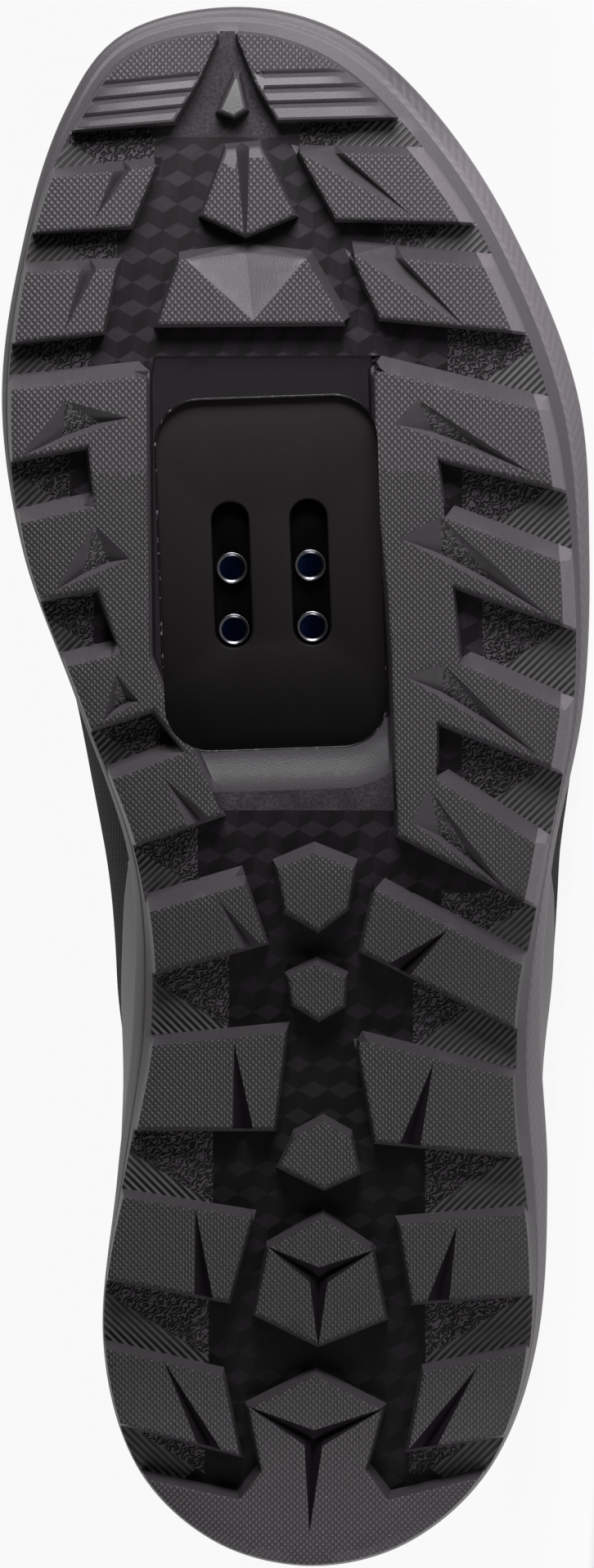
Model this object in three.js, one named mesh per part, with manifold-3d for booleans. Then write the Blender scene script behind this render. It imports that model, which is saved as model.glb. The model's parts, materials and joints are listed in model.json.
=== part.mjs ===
// A lugged off-road cycling shoe for the left foot, lying on its lateral side.
// It is built standing, with x from heel to toe, y to the lateral side and z up from the ground,
// and laid on its side at the end. Lengths are millimetres.
import * as THREE from 'three';
import { mergeVertices } from 'three/addons/utils/BufferGeometryUtils.js';
import { ConvexHull } from 'three/addons/math/ConvexHull.js';
import Module from 'manifold-3d';

const wasm = await Module();
wasm.setup();

// Sole sizes
const SOLE_LENGTH = 279;
const BALL_WIDTH = 103;
const LUG_DEPTH = 5;
const HEEL_STACK = 24;
const TOE_SPRING = 14;
const HEEL_BEVEL = 4;
const ARCH_LIFT = 2.5;
const EDGE_ROLL = 1.6;
const SIDE_FLARE = 6;
const LIP_THICKNESS = 1.6;
const TOE_LIP_HEIGHT = 22;
const FRONT_DRAFT = 1.3;
const SIDE_DRAFT = 0.5;
const OUTER_DRAFT = 0.6;
const GROOVE_DEPTH = 2.8;
const PIT_DEPTH = 1.9;

// Upper sizes
const UPPER_WALL = 2.4;
const FEATHER_INSET = 3.2;
const INSTEP_RISE = 67;
const COLLAR_HEIGHT = 97;
const ANKLE_HEIGHT = 74;
const THROAT_HALF_WIDTH = 12;
const EYESTAY_WIDTH = 16;
const OVERLAY_THICKNESS = 1.2;
const TONGUE_THICKNESS = 4.5;
const INSOLE_THICKNESS = 4;
const EYELET_BORE = 4.5;
const EYELET_ROWS = 5;
const LACE_DIAMETER = 3.4;

// Cleat mount sizes
const CLEAT_ANGLE = THREE.MathUtils.degToRad(2);
const WINDOW_LENGTH = 62.6;
const WINDOW_WIDTH = 39.6;
const WINDOW_CORNER = 8;
const POCKET_DEPTH = 1.6;
const PLATE_THICKNESS = 3.2;
const PLATE_RECESS = 8.2;
const PLATE_SEAT = 3;
const SLOT_SPACING = 14;
const SLOT_LENGTH = 26;
const SLOT_WIDTH = 6.6;
const NUT_LENGTH = 34;
const NUT_THICKNESS = 1.8;
const NUT_ROW_SPACING = 11;
const NUT_SHIFT = -4.3;
const BARREL_DIAMETER = 5.6;
const THREAD_BORE = 4.2;

// Clearance between pieces that touch on the real shoe
const GAP = 0.3;

// How finely the lofts are divided
const STATIONS = 32;
const ARCH_ROWS = 7;
const TREAD_COLUMNS = 6;
const BORE_SIDES = 6;
const LACE_SIDES = 5;
const BARREL_SIDES = 12;
const CORNER_STEPS = 3;

const CLEAT_ALONG = 0.636;
const CLEAT_ACROSS = -0.073;

// The rim is the sole's widest line: its distance from the axis, as shares of the ball width
const RIM = [
  { along: 0, medial: 0, lateral: 0 },
  { along: 0.017, medial: 0.177, lateral: 0.174 },
  { along: 0.067, medial: 0.31, lateral: 0.314 },
  { along: 0.146, medial: 0.364, lateral: 0.39 },
  { along: 0.25, medial: 0.34, lateral: 0.407 },
  { along: 0.35, medial: 0.314, lateral: 0.39 },
  { along: 0.45, medial: 0.318, lateral: 0.415 },
  { along: 0.55, medial: 0.406, lateral: 0.468 },
  { along: 0.65, medial: 0.503, lateral: 0.481 },
  { along: 0.75, medial: 0.54, lateral: 0.456 },
  { along: 0.854, medial: 0.5, lateral: 0.343 },
  { along: 0.933, medial: 0.425, lateral: 0.2 },
  { along: 0.983, medial: 0.31, lateral: 0.035 },
  { along: 1, medial: 0.132, lateral: -0.132 },
];

// How far the tread's edge stands inside the rim, as shares of the side flare
const TREAD_INSET = [
  { along: 0, medial: 0.1, lateral: 0.1 },
  { along: 0.1, medial: 0.08, lateral: 0.2 },
  { along: 0.2, medial: 0.1, lateral: 0.55 },
  { along: 0.28, medial: 0.45, lateral: 0.92 },
  { along: 0.36, medial: 0.68, lateral: 0.75 },
  { along: 0.45, medial: 0.33, lateral: 0.33 },
  { along: 0.55, medial: 0.12, lateral: 0.4 },
  { along: 0.65, medial: 0.1, lateral: 0.62 },
  { along: 0.75, medial: 0.3, lateral: 0.98 },
  { along: 0.86, medial: 0.32, lateral: 0.98 },
  { along: 0.94, medial: 0.6, lateral: 1.05 },
  { along: 1, medial: 0.85, lateral: 0.85 },
];

// Footbed height as a share of the heel stack, and the lip's height as a share of the toe lip
const SOLE_HEIGHTS = [
  { along: 0, footbed: 1, lip: 0.45 },
  { along: 0.12, footbed: 0.98, lip: 0.42 },
  { along: 0.3, footbed: 0.93, lip: 0.3 },
  { along: 0.5, footbed: 0.74, lip: 0.24 },
  { along: 0.64, footbed: 0.64, lip: 0.26 },
  { along: 0.75, footbed: 0.66, lip: 0.32 },
  { along: 0.85, footbed: 0.75, lip: 0.48 },
  { along: 0.93, footbed: 0.9, lip: 0.78 },
  { along: 1, footbed: 1.08, lip: 1 },
];

// The last over the footbed: its ridge's rise as a share of the instep rise, the ridge's distance
// from the axis as a share of the ball width, the squareness of a section, its swell at each side
// and its taper towards the top
const LAST = [
  { along: 0, rise: 1.5, shift: 0.02, squareness: 3.6, swellMedial: 0.08, swellLateral: 0.08, taper: 0.26 },
  { along: 0.15, rise: 1.52, shift: 0.02, squareness: 3.6, swellMedial: 0.12, swellLateral: 0.08, taper: 0.27 },
  { along: 0.3, rise: 1.52, shift: 0.02, squareness: 3, swellMedial: 0.3, swellLateral: 0.24, taper: 0.25 },
  { along: 0.38, rise: 1.42, shift: 0, squareness: 2.5, swellMedial: 0.5, swellLateral: 0.31, taper: 0.18 },
  { along: 0.46, rise: 1.22, shift: -0.02, squareness: 2.15, swellMedial: 0.56, swellLateral: 0.27, taper: 0.1 },
  { along: 0.55, rise: 1, shift: -0.05, squareness: 2, swellMedial: 0.3, swellLateral: 0.18, taper: 0.03 },
  { along: 0.65, rise: 0.77, shift: -0.085, squareness: 2, swellMedial: 0.14, swellLateral: 0.14, taper: 0 },
  { along: 0.76, rise: 0.6, shift: -0.11, squareness: 2.15, swellMedial: 0.12, swellLateral: 0.12, taper: 0 },
  { along: 0.88, rise: 0.53, shift: -0.13, squareness: 2.35, swellMedial: 0.1, swellLateral: 0.1, taper: 0 },
  { along: 1, rise: 0.5, shift: -0.132, squareness: 2.5, swellMedial: 0.08, swellLateral: 0.08, taper: 0 },
];

// Collar line from the heel tab to the throat: height as a share of the way from ankle to heel tab
const COLLAR = [
  { along: -0.06, climb: 1.02 },
  { along: 0.02, climb: 1 },
  { along: 0.07, climb: 0.86 },
  { along: 0.13, climb: 0.42 },
  { along: 0.19, climb: 0.12 },
  { along: 0.25, climb: 0 },
  { along: 0.31, climb: 0.14 },
  { along: 0.36, climb: 0.55 },
  { along: 0.4, climb: 1.05 },
  { along: 0.43, climb: 1.35 },
];

// Throat slot: half-width as a share of its widest
const THROAT = [
  { along: 0.33, spread: 1.1 },
  { along: 0.42, spread: 1 },
  { along: 0.52, spread: 0.9 },
  { along: 0.6, spread: 0.8 },
  { along: 0.645, spread: 0.68 },
  { along: 0.66, spread: 0.45 },
  { along: 0.668, spread: 0.02 },
];

// Blocks at the tread's edge. Corners are shares: along the sole, and across from -1 at the medial
// edge to 1 at the lateral edge. The outer corners reach the edge.
const EDGE_BLOCKS = [
  { outerFront: 0.887, front: [0.896, -0.48], rear: [0.858, -0.57], outerRear: 0.853, side: -1 },
  { outerFront: 0.827, front: [0.831, -0.62], rear: [0.79, -0.66], outerRear: 0.781, side: -1 },
  { outerFront: 0.414, front: [0.437, -0.49], rear: [0.4, -0.4], outerRear: 0.376, side: -1 },
  { outerFront: 0.332, front: [0.342, -0.27], rear: [0.281, -0.28], outerRear: 0.281, side: -1 },
  { outerFront: 0.24, front: [0.224, -0.35], rear: [0.171, -0.42], outerRear: 0.189, side: -1 },
  { outerFront: 0.145, front: [0.123, -0.45], rear: [0.073, -0.41], outerRear: 0.098, side: -1 },
  { outerFront: 0.907, front: [0.907, 0.31], rear: [0.86, 0.38], outerRear: 0.858, side: 1 },
  { outerFront: 0.835, front: [0.843, 0.4], rear: [0.796, 0.45], outerRear: 0.787, side: 1 },
  { outerFront: 0.377, front: [0.434, 0.17], rear: [0.395, 0.12], outerRear: 0.337, side: 1 },
  { outerFront: 0.309, front: [0.338, 0.13], rear: [0.273, 0.26], outerRear: 0.262, side: 1 },
  { outerFront: 0.228, front: [0.22, 0.38], rear: [0.17, 0.45], outerRear: 0.177, side: 1 },
  { outerFront: 0.142, front: [0.125, 0.52], rear: [0.076, 0.52], outerRear: 0.088, side: 1 },
];

// The rails beside the cleat: inner edge points, then the pockets cut in from the outer edge
const MEDIAL_RAIL = {
  side: -1,
  start: { front: 0.762, outerFront: 0.75 },
  inner: [[0.762, -0.49], [0.688, -0.52], [0.583, -0.66], [0.54, -0.64], [0.51, -0.58], [0.479, -0.6]],
  pockets: [
    { outerFront: 0.704, front: 0.717, rear: 0.678, inner: -0.72, outerRear: 0.662 },
    { outerFront: 0.615, front: 0.626, rear: 0.584, inner: -0.77, outerRear: 0.571 },
    { outerFront: 0.53, front: 0.547, rear: 0.515, inner: -0.71, outerRear: 0.497 },
  ],
  outerEnd: 0.457,
};
const LATERAL_RAIL = {
  side: 1,
  start: { front: 0.766, outerFront: 0.732 },
  inner: [[0.766, 0.38], [0.688, 0.32], [0.625, 0.31], [0.583, 0.29], [0.531, 0.27], [0.469, 0.28]],
  pockets: [
    { outerFront: 0.683, front: 0.709, rear: 0.676, inner: 0.555, outerRear: 0.636 },
    { outerFront: 0.593, front: 0.628, rear: 0.583, inner: 0.555, outerRear: 0.542 },
    { outerFront: 0.502, front: 0.541, rear: 0.509, inner: 0.45, outerRear: 0.453 },
  ],
  outerEnd: 0.416,
};

// Lugs down the middle, each a short list of [along, across] corners
const CENTRE_LUGS = {
  kite: [[0.96, 0.05], [0.93, 0.1], [0.924, -0.03], [0.93, -0.15]],
  arrow: [[0.912, -0.1], [0.914, 0.11], [0.863, 0.21], [0.85, -0.05], [0.863, -0.25]],
  trapezoid: [[0.836, -0.35], [0.842, -0.06], [0.837, 0.2], [0.796, 0.3], [0.795, -0.44]],
  firstHexagon: [[0.457, -0.13], [0.447, 0.06], [0.422, 0.03], [0.408, -0.12], [0.42, -0.29], [0.447, -0.32]],
  secondHexagon: [[0.386, -0.12], [0.377, 0.04], [0.36, 0.04], [0.351, -0.09], [0.361, -0.24], [0.377, -0.27]],
  thirdHexagon: [[0.285, -0.02], [0.275, 0.13], [0.253, 0.17], [0.243, 0], [0.257, -0.23], [0.275, -0.17]],
  heelKite: [[0.224, 0], [0.202, 0.25], [0.16, 0.32], [0.143, 0.01], [0.163, -0.29], [0.204, -0.25]],
};

// The big heel block wraps the back of the heel, and the toe pads wrap the tip. Their corners run
// along the sole and out from its axis, as a share of the ball width.
const HEEL_BLOCK = [
  [0.123, 0.003], [0.101, 0.119], [0.063, 0.09], [0.044, 0.129], [0.068, 0.4], [-0.02, 0.4],
  [-0.02, -0.4], [0.066, -0.4], [0.044, -0.127], [0.062, -0.089], [0.102, -0.111],
];
const TOE_PADS = {
  medial: [[0.914, -0.6], [0.925, -0.242], [0.951, -0.2], [0.978, -0.168], [1.03, -0.17], [1.03, -0.6]],
  lateral: [[0.929, 0.25], [1.03, 0.25], [1.03, -0.13], [0.978, -0.13], [0.95, -0.1], [0.926, -0.062]],
};

// V-grooves cut into the lugs from their front edge to a point; widths are millimetres each way
const GROOVES = [
  { from: [0.899, -0.655], to: [0.862, -0.74], medialWidth: 1.6, lateralWidth: 1 },
  { from: [0.836, -0.735], to: [0.79, -0.81], medialWidth: 1.6, lateralWidth: 1 },
  { from: [0.91, -0.01], to: [0.835, -0.06], medialWidth: 1.2, lateralWidth: 2.2 },
  { from: [0.84, -0.06], to: [0.797, -0.06], medialWidth: 11, lateralWidth: 10.5 },
  { from: [0.908, 0.52], to: [0.864, 0.74], medialWidth: 5.5, lateralWidth: 1 },
  { from: [0.842, 0.6], to: [0.79, 0.79], medialWidth: 5.5, lateralWidth: 1 },
  { from: [0.477, -0.65], to: [0.506, -0.77], medialWidth: 2.4, lateralWidth: 1.4 },
  { from: [0.397, -0.47], to: [0.428, -0.64], medialWidth: 2.2, lateralWidth: 1.4 },
  { from: [0.279, -0.44], to: [0.336, -0.55], medialWidth: 1.8, lateralWidth: 1.8 },
  { from: [0.384, 0.34], to: [0.408, 0.57], medialWidth: 2, lateralWidth: 2 },
  { from: [0.27, 0.44], to: [0.323, 0.56], medialWidth: 1.8, lateralWidth: 1.8 },
  { from: [0.173, -0.53], to: [0.23, -0.63], medialWidth: 1.9, lateralWidth: 1.3 },
  { from: [0.076, -0.56], to: [0.133, -0.73], medialWidth: 1.9, lateralWidth: 1.3 },
  { from: [0.169, 0.57], to: [0.219, 0.66], medialWidth: 1.9, lateralWidth: 1.9 },
  { from: [0.076, 0.6], to: [0.129, 0.78], medialWidth: 1.9, lateralWidth: 1.9 },
];

// Y-grooves: three arms from a centre point
const Y_GROOVES = [
  { centre: [0.186, 0], arms: [[0.206, -0.26], [0.204, 0.27], [0.14, 0.01]] },
  { centre: [0.082, 0], arms: [[0.104, -0.34], [0.103, 0.36], [0.022, -0.02]] },
];

// Three-cornered pits in the rails: flush at the front corner, deepest along the rear wall
const PITS = [
  { front: [0.746, -0.8], inner: [0.735, -0.56], outer: [0.71, -0.97] },
  { front: [0.667, -0.73], inner: [0.645, -0.62], outer: [0.624, -0.94] },
  { front: [0.571, -0.82], inner: [0.554, -0.76], outer: [0.541, -0.94] },
  { front: [0.747, 0.52], inner: [0.731, 0.42], outer: [0.699, 0.9] },
  { front: [0.672, 0.54], inner: [0.658, 0.38], outer: [0.607, 0.92] },
  { front: [0.578, 0.49], inner: [0.57, 0.33], outer: [0.519, 0.89] },
  { front: [0.498, 0.42], inner: [0.477, 0.34], outer: [0.431, 0.86] },
];

const MATERIALS = {
  rubber: new THREE.MeshStandardMaterial({ color: 0x3c3b3e, roughness: 0.72 }),
  plate: new THREE.MeshStandardMaterial({ color: 0x121212, roughness: 0.42 }),
  steel: new THREE.MeshStandardMaterial({ color: 0x3a3c40, roughness: 0.35, metalness: 1 }),
  mesh: new THREE.MeshStandardMaterial({ color: 0x1c1c1e, roughness: 0.9 }),
  film: new THREE.MeshStandardMaterial({ color: 0x29292c, roughness: 0.55 }),
  foam: new THREE.MeshStandardMaterial({ color: 0x1d3c66, roughness: 0.95 }),
  lining: new THREE.MeshStandardMaterial({ color: 0x202022, roughness: 0.95 }),
  cord: new THREE.MeshStandardMaterial({ color: 0x161617, roughness: 0.85 }),
};

// Table reading: a smooth curve through the rows, eased at heel and toe where outlines turn
function turn(along) {
  return Math.acos(1 - 2 * THREE.MathUtils.clamp(along, 0, 1)) / Math.PI;
}

function follow(rows, column, along) {
  const at = turn(along);
  let i = 0;
  while (i < rows.length - 2 && turn(rows[i + 1].along) < at) i += 1;
  const value = (j) => rows[THREE.MathUtils.clamp(j, 0, rows.length - 1)][column];
  const place = (j) => turn(rows[THREE.MathUtils.clamp(j, 0, rows.length - 1)].along);
  const slope = (j) => (value(j + 1) - value(j - 1)) / (place(j + 1) - place(j - 1));
  const span = place(i + 1) - place(i);
  const t = (at - place(i)) / span;
  const h = t * t * (3 - 2 * t);
  const bend = span * (t * (1 - t) ** 2 * slope(i) - t * t * (1 - t) * slope(i + 1));
  return value(i) * (1 - h) + value(i + 1) * h + bend;
}

// A straight reading for the short open tables
function between(rows, column, along) {
  let i = 0;
  while (i < rows.length - 2 && rows[i + 1].along < along) i += 1;
  const t = THREE.MathUtils.clamp((along - rows[i].along) / (rows[i + 1].along - rows[i].along), 0, 1);
  return rows[i][column] * (1 - t) + rows[i + 1][column] * t;
}

const sideName = (side) => (side > 0 ? 'lateral' : 'medial');
const stationAlong = (k) => (1 - Math.cos((Math.PI * k) / STATIONS)) / 2;

// Sole heights above the ground, standing
function groundHeight(x, y) {
  const heel = HEEL_BEVEL * Math.max(0, 1 - x / 20) ** 2;
  const toeStart = 0.7 * SOLE_LENGTH;
  const toe = TOE_SPRING * Math.max(0, (x - toeStart) / (SOLE_LENGTH - toeStart)) ** 1.8;
  const archSpan = THREE.MathUtils.clamp((x / SOLE_LENGTH - 0.24) / 0.22, 0, 1);
  const arch = ARCH_LIFT * Math.sin(Math.PI * archSpan) ** 2;
  const out = Math.abs(acrossShare(x, y));
  const roll = EDGE_ROLL * THREE.MathUtils.clamp((out - 0.6) / 0.4, 0, 1.3) ** 2;
  return heel + toe + arch + roll;
}

const floorHeight = (x, y) => groundHeight(x, y) + LUG_DEPTH;
const footbedHeight = (along) => HEEL_STACK * follow(SOLE_HEIGHTS, 'footbed', along);
const lipHeight = (along) => TOE_LIP_HEIGHT * follow(SOLE_HEIGHTS, 'lip', along);

// The outline loop: 0 at the heel, 1 at the toe along the lateral side, 2 at the heel again
function rimPoint(loop) {
  const wrapped = ((loop % 2) + 2) % 2;
  const side = wrapped <= 1 ? 1 : -1;
  const share = wrapped <= 1 ? wrapped : 2 - wrapped;
  const along = (1 - Math.cos(Math.PI * share)) / 2;
  return new THREE.Vector2(along * SOLE_LENGTH, side * BALL_WIDTH * follow(RIM, sideName(side), along));
}

function rimNormal(loop) {
  const step = 0.004;
  const tangent = rimPoint(loop + step).sub(rimPoint(loop - step)).normalize();
  return new THREE.Vector2(-tangent.y, tangent.x);
}

const loopAt = (share, side) => (side > 0 ? share : 2 - share);

function insetPoint(share, side, inset) {
  const loop = loopAt(share, side);
  return rimPoint(loop).addScaledVector(rimNormal(loop), -inset);
}

function treadInset(along, side) {
  return SIDE_FLARE * follow(TREAD_INSET, sideName(side), along);
}

function treadPoint(share, side, grow = 0) {
  const along = (1 - Math.cos(Math.PI * share)) / 2;
  return insetPoint(share, side, treadInset(along, side) - grow);
}

// The tread's two edges as fine polylines, read by distance from the heel
const EDGE_STEPS = 160;
const treadEdges = {};
for (const side of [1, -1]) {
  treadEdges[side] = Array.from({ length: EDGE_STEPS + 1 }, (_, i) => treadPoint(i / EDGE_STEPS, side));
}

function edgeAt(x, side) {
  const edge = treadEdges[side];
  let i = 0;
  while (i < edge.length - 2 && edge[i + 1].x < x) i += 1;
  const t = THREE.MathUtils.clamp((x - edge[i].x) / (edge[i + 1].x - edge[i].x), 0, 1);
  return THREE.MathUtils.lerp(edge[i].y, edge[i + 1].y, t);
}

function acrossShare(x, y) {
  const lateral = edgeAt(x, 1);
  const medial = edgeAt(x, -1);
  return (2 * y - lateral - medial) / Math.max(lateral - medial, 8);
}

function spot([along, across]) {
  const x = along * SOLE_LENGTH;
  const lateral = edgeAt(x, 1);
  const medial = edgeAt(x, -1);
  return new THREE.Vector2(x, (lateral + medial) / 2 + (across * (lateral - medial)) / 2);
}

const axisSpot = ([along, out]) => new THREE.Vector2(along * SOLE_LENGTH, out * BALL_WIDTH);

// Solids: a closed mesh from points and triangles, its faces turned to point out
function solidFromTriangles(points, triangles) {
  const geometry = new THREE.BufferGeometry();
  geometry.setAttribute('position', new THREE.Float32BufferAttribute(points.flatMap((p) => [p.x, p.y, p.z]), 3));
  geometry.setIndex(triangles);
  const merged = mergeVertices(geometry, 1e-4);
  const position = merged.attributes.position;
  const corner = (i) => new THREE.Vector3().fromBufferAttribute(position, i);
  const kept = [];
  let volume = 0;
  for (let i = 0; i < merged.index.count; i += 3) {
    const [a, b, c] = [0, 1, 2].map((j) => merged.index.getX(i + j));
    if (a === b || b === c || c === a) continue;
    kept.push([a, b, c]);
    volume += corner(a).dot(corner(b).cross(corner(c)));
  }
  const triVerts = new Uint32Array(kept.flatMap(([a, b, c]) => (volume < 0 ? [a, c, b] : [a, b, c])));
  const vertProperties = new Float32Array(position.array);
  return new wasm.Manifold(new wasm.Mesh({ numProp: 3, vertProperties, triVerts }));
}

// A loft through rings of points; rings that shrink to a line or point need no caps
function loft(rings, capped = false) {
  const count = rings[0].length;
  const triangles = [];
  for (let k = 0; k < rings.length - 1; k += 1) {
    for (let i = 0; i < count; i += 1) {
      const a = k * count + i;
      const b = k * count + ((i + 1) % count);
      triangles.push(a, b, b + count, a, b + count, a + count);
    }
  }
  const last = (rings.length - 1) * count;
  for (let i = 1; capped && i < count - 1; i += 1) {
    triangles.push(0, i + 1, i, last, last + i, last + i + 1);
  }
  return solidFromTriangles(rings.flat(), triangles);
}

// A solid between two copies of a flat outline, each placed in space by its own function
function spannedSolid(outline, placeLower, placeUpper) {
  const faces = THREE.ShapeUtils.triangulateShape(outline, []);
  const count = outline.length;
  const points = [...outline.map(placeLower), ...outline.map(placeUpper)];
  const triangles = faces.flatMap(([a, b, c]) => [a, c, b, a + count, b + count, c + count]);
  for (let i = 0; i < count; i += 1) {
    const next = (i + 1) % count;
    triangles.push(i, next, next + count, i, next + count, i + count);
  }
  return solidFromTriangles(points, triangles);
}

function counterClockwise(outline) {
  return THREE.ShapeUtils.area(outline) < 0 ? outline.slice().reverse() : outline;
}

function planPrism(outline, bottom, top) {
  return spannedSolid(
    counterClockwise(outline),
    (p) => new THREE.Vector3(p.x, p.y, bottom),
    (p) => new THREE.Vector3(p.x, p.y, top),
  );
}

// A prism across the shoe from a side profile of x and z
function sidePrism(profile) {
  return spannedSolid(
    counterClockwise(profile),
    (p) => new THREE.Vector3(p.x, BALL_WIDTH, p.y),
    (p) => new THREE.Vector3(p.x, -BALL_WIDTH, p.y),
  );
}

function roundedRectangle(length, width, corner) {
  const shape = new THREE.Shape();
  const x = length / 2 - corner;
  const y = width / 2 - corner;
  shape.absarc(x, y, corner, 0, Math.PI / 2);
  shape.absarc(-x, y, corner, Math.PI / 2, Math.PI);
  shape.absarc(-x, -y, corner, Math.PI, 1.5 * Math.PI);
  shape.absarc(x, -y, corner, 1.5 * Math.PI, 2 * Math.PI);
  const points = shape.getPoints(CORNER_STEPS);
  return points.filter((p, i) => p.distanceTo(points[(i + 1) % points.length]) > 1e-3);
}

function circle(centre, diameter, sides) {
  return Array.from({ length: sides }, (_, i) => {
    const angle = (2 * Math.PI * i) / sides;
    return new THREE.Vector2(Math.cos(angle), Math.sin(angle)).multiplyScalar(diameter / 2).add(centre);
  });
}

// A round bar along a path
function bar(path, diameter, sides) {
  const rings = path.map((point, i) => {
    const ahead = path[Math.min(i + 1, path.length - 1)];
    const behind = path[Math.max(i - 1, 0)];
    const tangent = ahead.clone().sub(behind).normalize();
    const across = new THREE.Vector3(1, 0.2, 0.1).cross(tangent).normalize();
    const up = tangent.clone().cross(across);
    return circle(new THREE.Vector2(), diameter, sides).map((p) =>
      point.clone().addScaledVector(across, p.x).addScaledVector(up, p.y));
  });
  return loft(rings, true);
}

const joined = (solids) => solids.reduce((whole, solid) => whole.add(solid));

// The last: loop runs round the featherline, rise from 0 there to 1 at the ridge over the foot
function sectionAt(loop) {
  const wrapped = ((loop % 2) + 2) % 2;
  const side = wrapped <= 1 ? 1 : -1;
  const share = wrapped <= 1 ? wrapped : 2 - wrapped;
  const along = (1 - Math.cos(Math.PI * share)) / 2;
  const fromWaist = 2 * along - 1;
  const ridgeAlong = 0.5 + 0.5 * (fromWaist - 0.3 * fromWaist ** 3);
  const base = insetPoint(share, side, FEATHER_INSET);
  const ridge = axisSpot([ridgeAlong, follow(LAST, 'shift', ridgeAlong)]);
  const foot = footbedHeight(along);
  const top = footbedHeight(ridgeAlong) + INSTEP_RISE * follow(LAST, 'rise', ridgeAlong);
  const squareness = follow(LAST, 'squareness', along);
  const swell = follow(LAST, side > 0 ? 'swellLateral' : 'swellMedial', along);
  const taper = follow(LAST, 'taper', along);
  return { base, ridge, foot, top, squareness, swell, taper };
}

function lastPoint(loop, rise) {
  const { base, ridge, foot, top, squareness, swell, taper } = sectionAt(loop);
  const angle = (rise * Math.PI) / 2;
  const reach = (Math.cos(angle) ** squareness + Math.sin(angle) ** squareness) ** (-1 / squareness);
  const up = Math.sin(angle) * reach;
  const out = Math.cos(angle) * reach * (1 + swell * Math.sin(2 * angle)) * (1 - taper * up);
  const plan = ridge.clone().lerp(base, rise === 1 ? 0 : out);
  return new THREE.Vector3(plan.x, plan.y, foot + (top - foot) * up);
}

const RIDGE_SAMPLE = 0.97;

function lastNormal(loop, rise) {
  if (rise > RIDGE_SAMPLE) {
    return lastNormal(loop, RIDGE_SAMPLE).add(lastNormal(2 - loop, RIDGE_SAMPLE)).normalize();
  }
  const step = 0.01;
  const low = Math.max(rise - step, 0);
  const along = lastPoint(loop + step, rise).sub(lastPoint(loop - step, rise));
  const up = lastPoint(loop, rise + step).sub(lastPoint(loop, low));
  return up.cross(along).normalize();
}

function shellPoint(loop, rise, offset) {
  return lastPoint(loop, rise).addScaledVector(lastNormal(loop, rise), offset);
}

// The rise at which the last stands a given height over the footbed, or a given width from its ridge
function riseAtHeight(loop, height) {
  const { foot, top, squareness } = sectionAt(loop);
  const up = Math.min(height / (top - foot), 0.999);
  return Math.atan2(up, (1 - up ** squareness) ** (1 / squareness)) / (Math.PI / 2);
}

function riseAtWidth(loop, width) {
  const { ridge } = sectionAt(loop);
  let low = 0.25;
  let high = 1;
  for (let i = 0; i < 24; i += 1) {
    const middle = (low + high) / 2;
    const point = lastPoint(loop, middle);
    if (Math.hypot(point.x - ridge.x, point.y - ridge.y) > width) low = middle;
    else high = middle;
  }
  return high;
}

// A point on the last by its share along and its distance from the ridge, negative at the medial side
function topPoint(along, width, offset) {
  const loop = loopAt(turn(along), width < 0 ? -1 : 1);
  const rise = Math.abs(width) < 0.01 ? 1 : riseAtWidth(loop, Math.abs(width));
  return shellPoint(loop, rise, offset);
}

// The whole last as a closed solid, grown or shrunk, with its underside lowered by drop
function lastSolid(offset, drop) {
  const rings = [];
  for (let k = 0; k <= STATIONS; k += 1) {
    const share = k / STATIONS;
    const foot = footbedHeight(stationAlong(k));
    const half = [1, -1].map((side) => {
      const loop = loopAt(share, side);
      const points = Array.from({ length: ARCH_ROWS + 1 }, (_, r) => shellPoint(loop, r / ARCH_ROWS, offset));
      points[0].z = foot;
      return [points[0].clone().setZ(foot - drop), ...points];
    });
    rings.push([...half[0], ...half[1].reverse().slice(1)]);
  }
  return loft(rings);
}

// Outsole: a body from the tread floor up to the lip, then lugs, grooves, pits and the cleat pocket
function outerGrowth(along, side) {
  return Math.min(OUTER_DRAFT, 0.35 * treadInset(along, side));
}

function withHeight(plan, height) {
  return new THREE.Vector3(plan.x, plan.y, height);
}

function sideWall(share, side) {
  const along = (1 - Math.cos(Math.PI * share)) / 2;
  const loop = loopAt(share, side);
  const inset = treadInset(along, side);
  const foot = footbedHeight(along);
  const edge = treadPoint(share, side, outerGrowth(along, side));
  const floor = floorHeight(edge.x, edge.y);
  const rise = foot - floor;
  const lip = lipHeight(along);
  return [
    withHeight(insetPoint(share, side, 0.55 * inset), floor + 0.2 * rise),
    withHeight(insetPoint(share, side, 0.4 * inset), floor + 0.24 * rise),
    withHeight(insetPoint(share, side, 0), floor + 0.8 * rise),
    shellPoint(loop, riseAtHeight(loop, 0.55 * lip), LIP_THICKNESS),
    shellPoint(loop, riseAtHeight(loop, lip), 0.8 * LIP_THICKNESS),
  ];
}

function soleBody() {
  const rings = [];
  for (let k = 0; k <= STATIONS; k += 1) {
    const share = k / STATIONS;
    const along = stationAlong(k);
    const medial = treadPoint(share, -1, outerGrowth(along, -1));
    const lateral = treadPoint(share, 1, outerGrowth(along, 1));
    const floor = Array.from({ length: TREAD_COLUMNS + 1 }, (_, i) => {
      const plan = medial.clone().lerp(lateral, i / TREAD_COLUMNS);
      return withHeight(plan, floorHeight(plan.x, plan.y));
    });
    rings.push([...floor, ...sideWall(share, 1), ...sideWall(share, -1).reverse()]);
  }
  return loft(rings);
}

// The space that lugs may fill: the tread's outline with its outer draft
const LUG_ROOT = 2.4;

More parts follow.
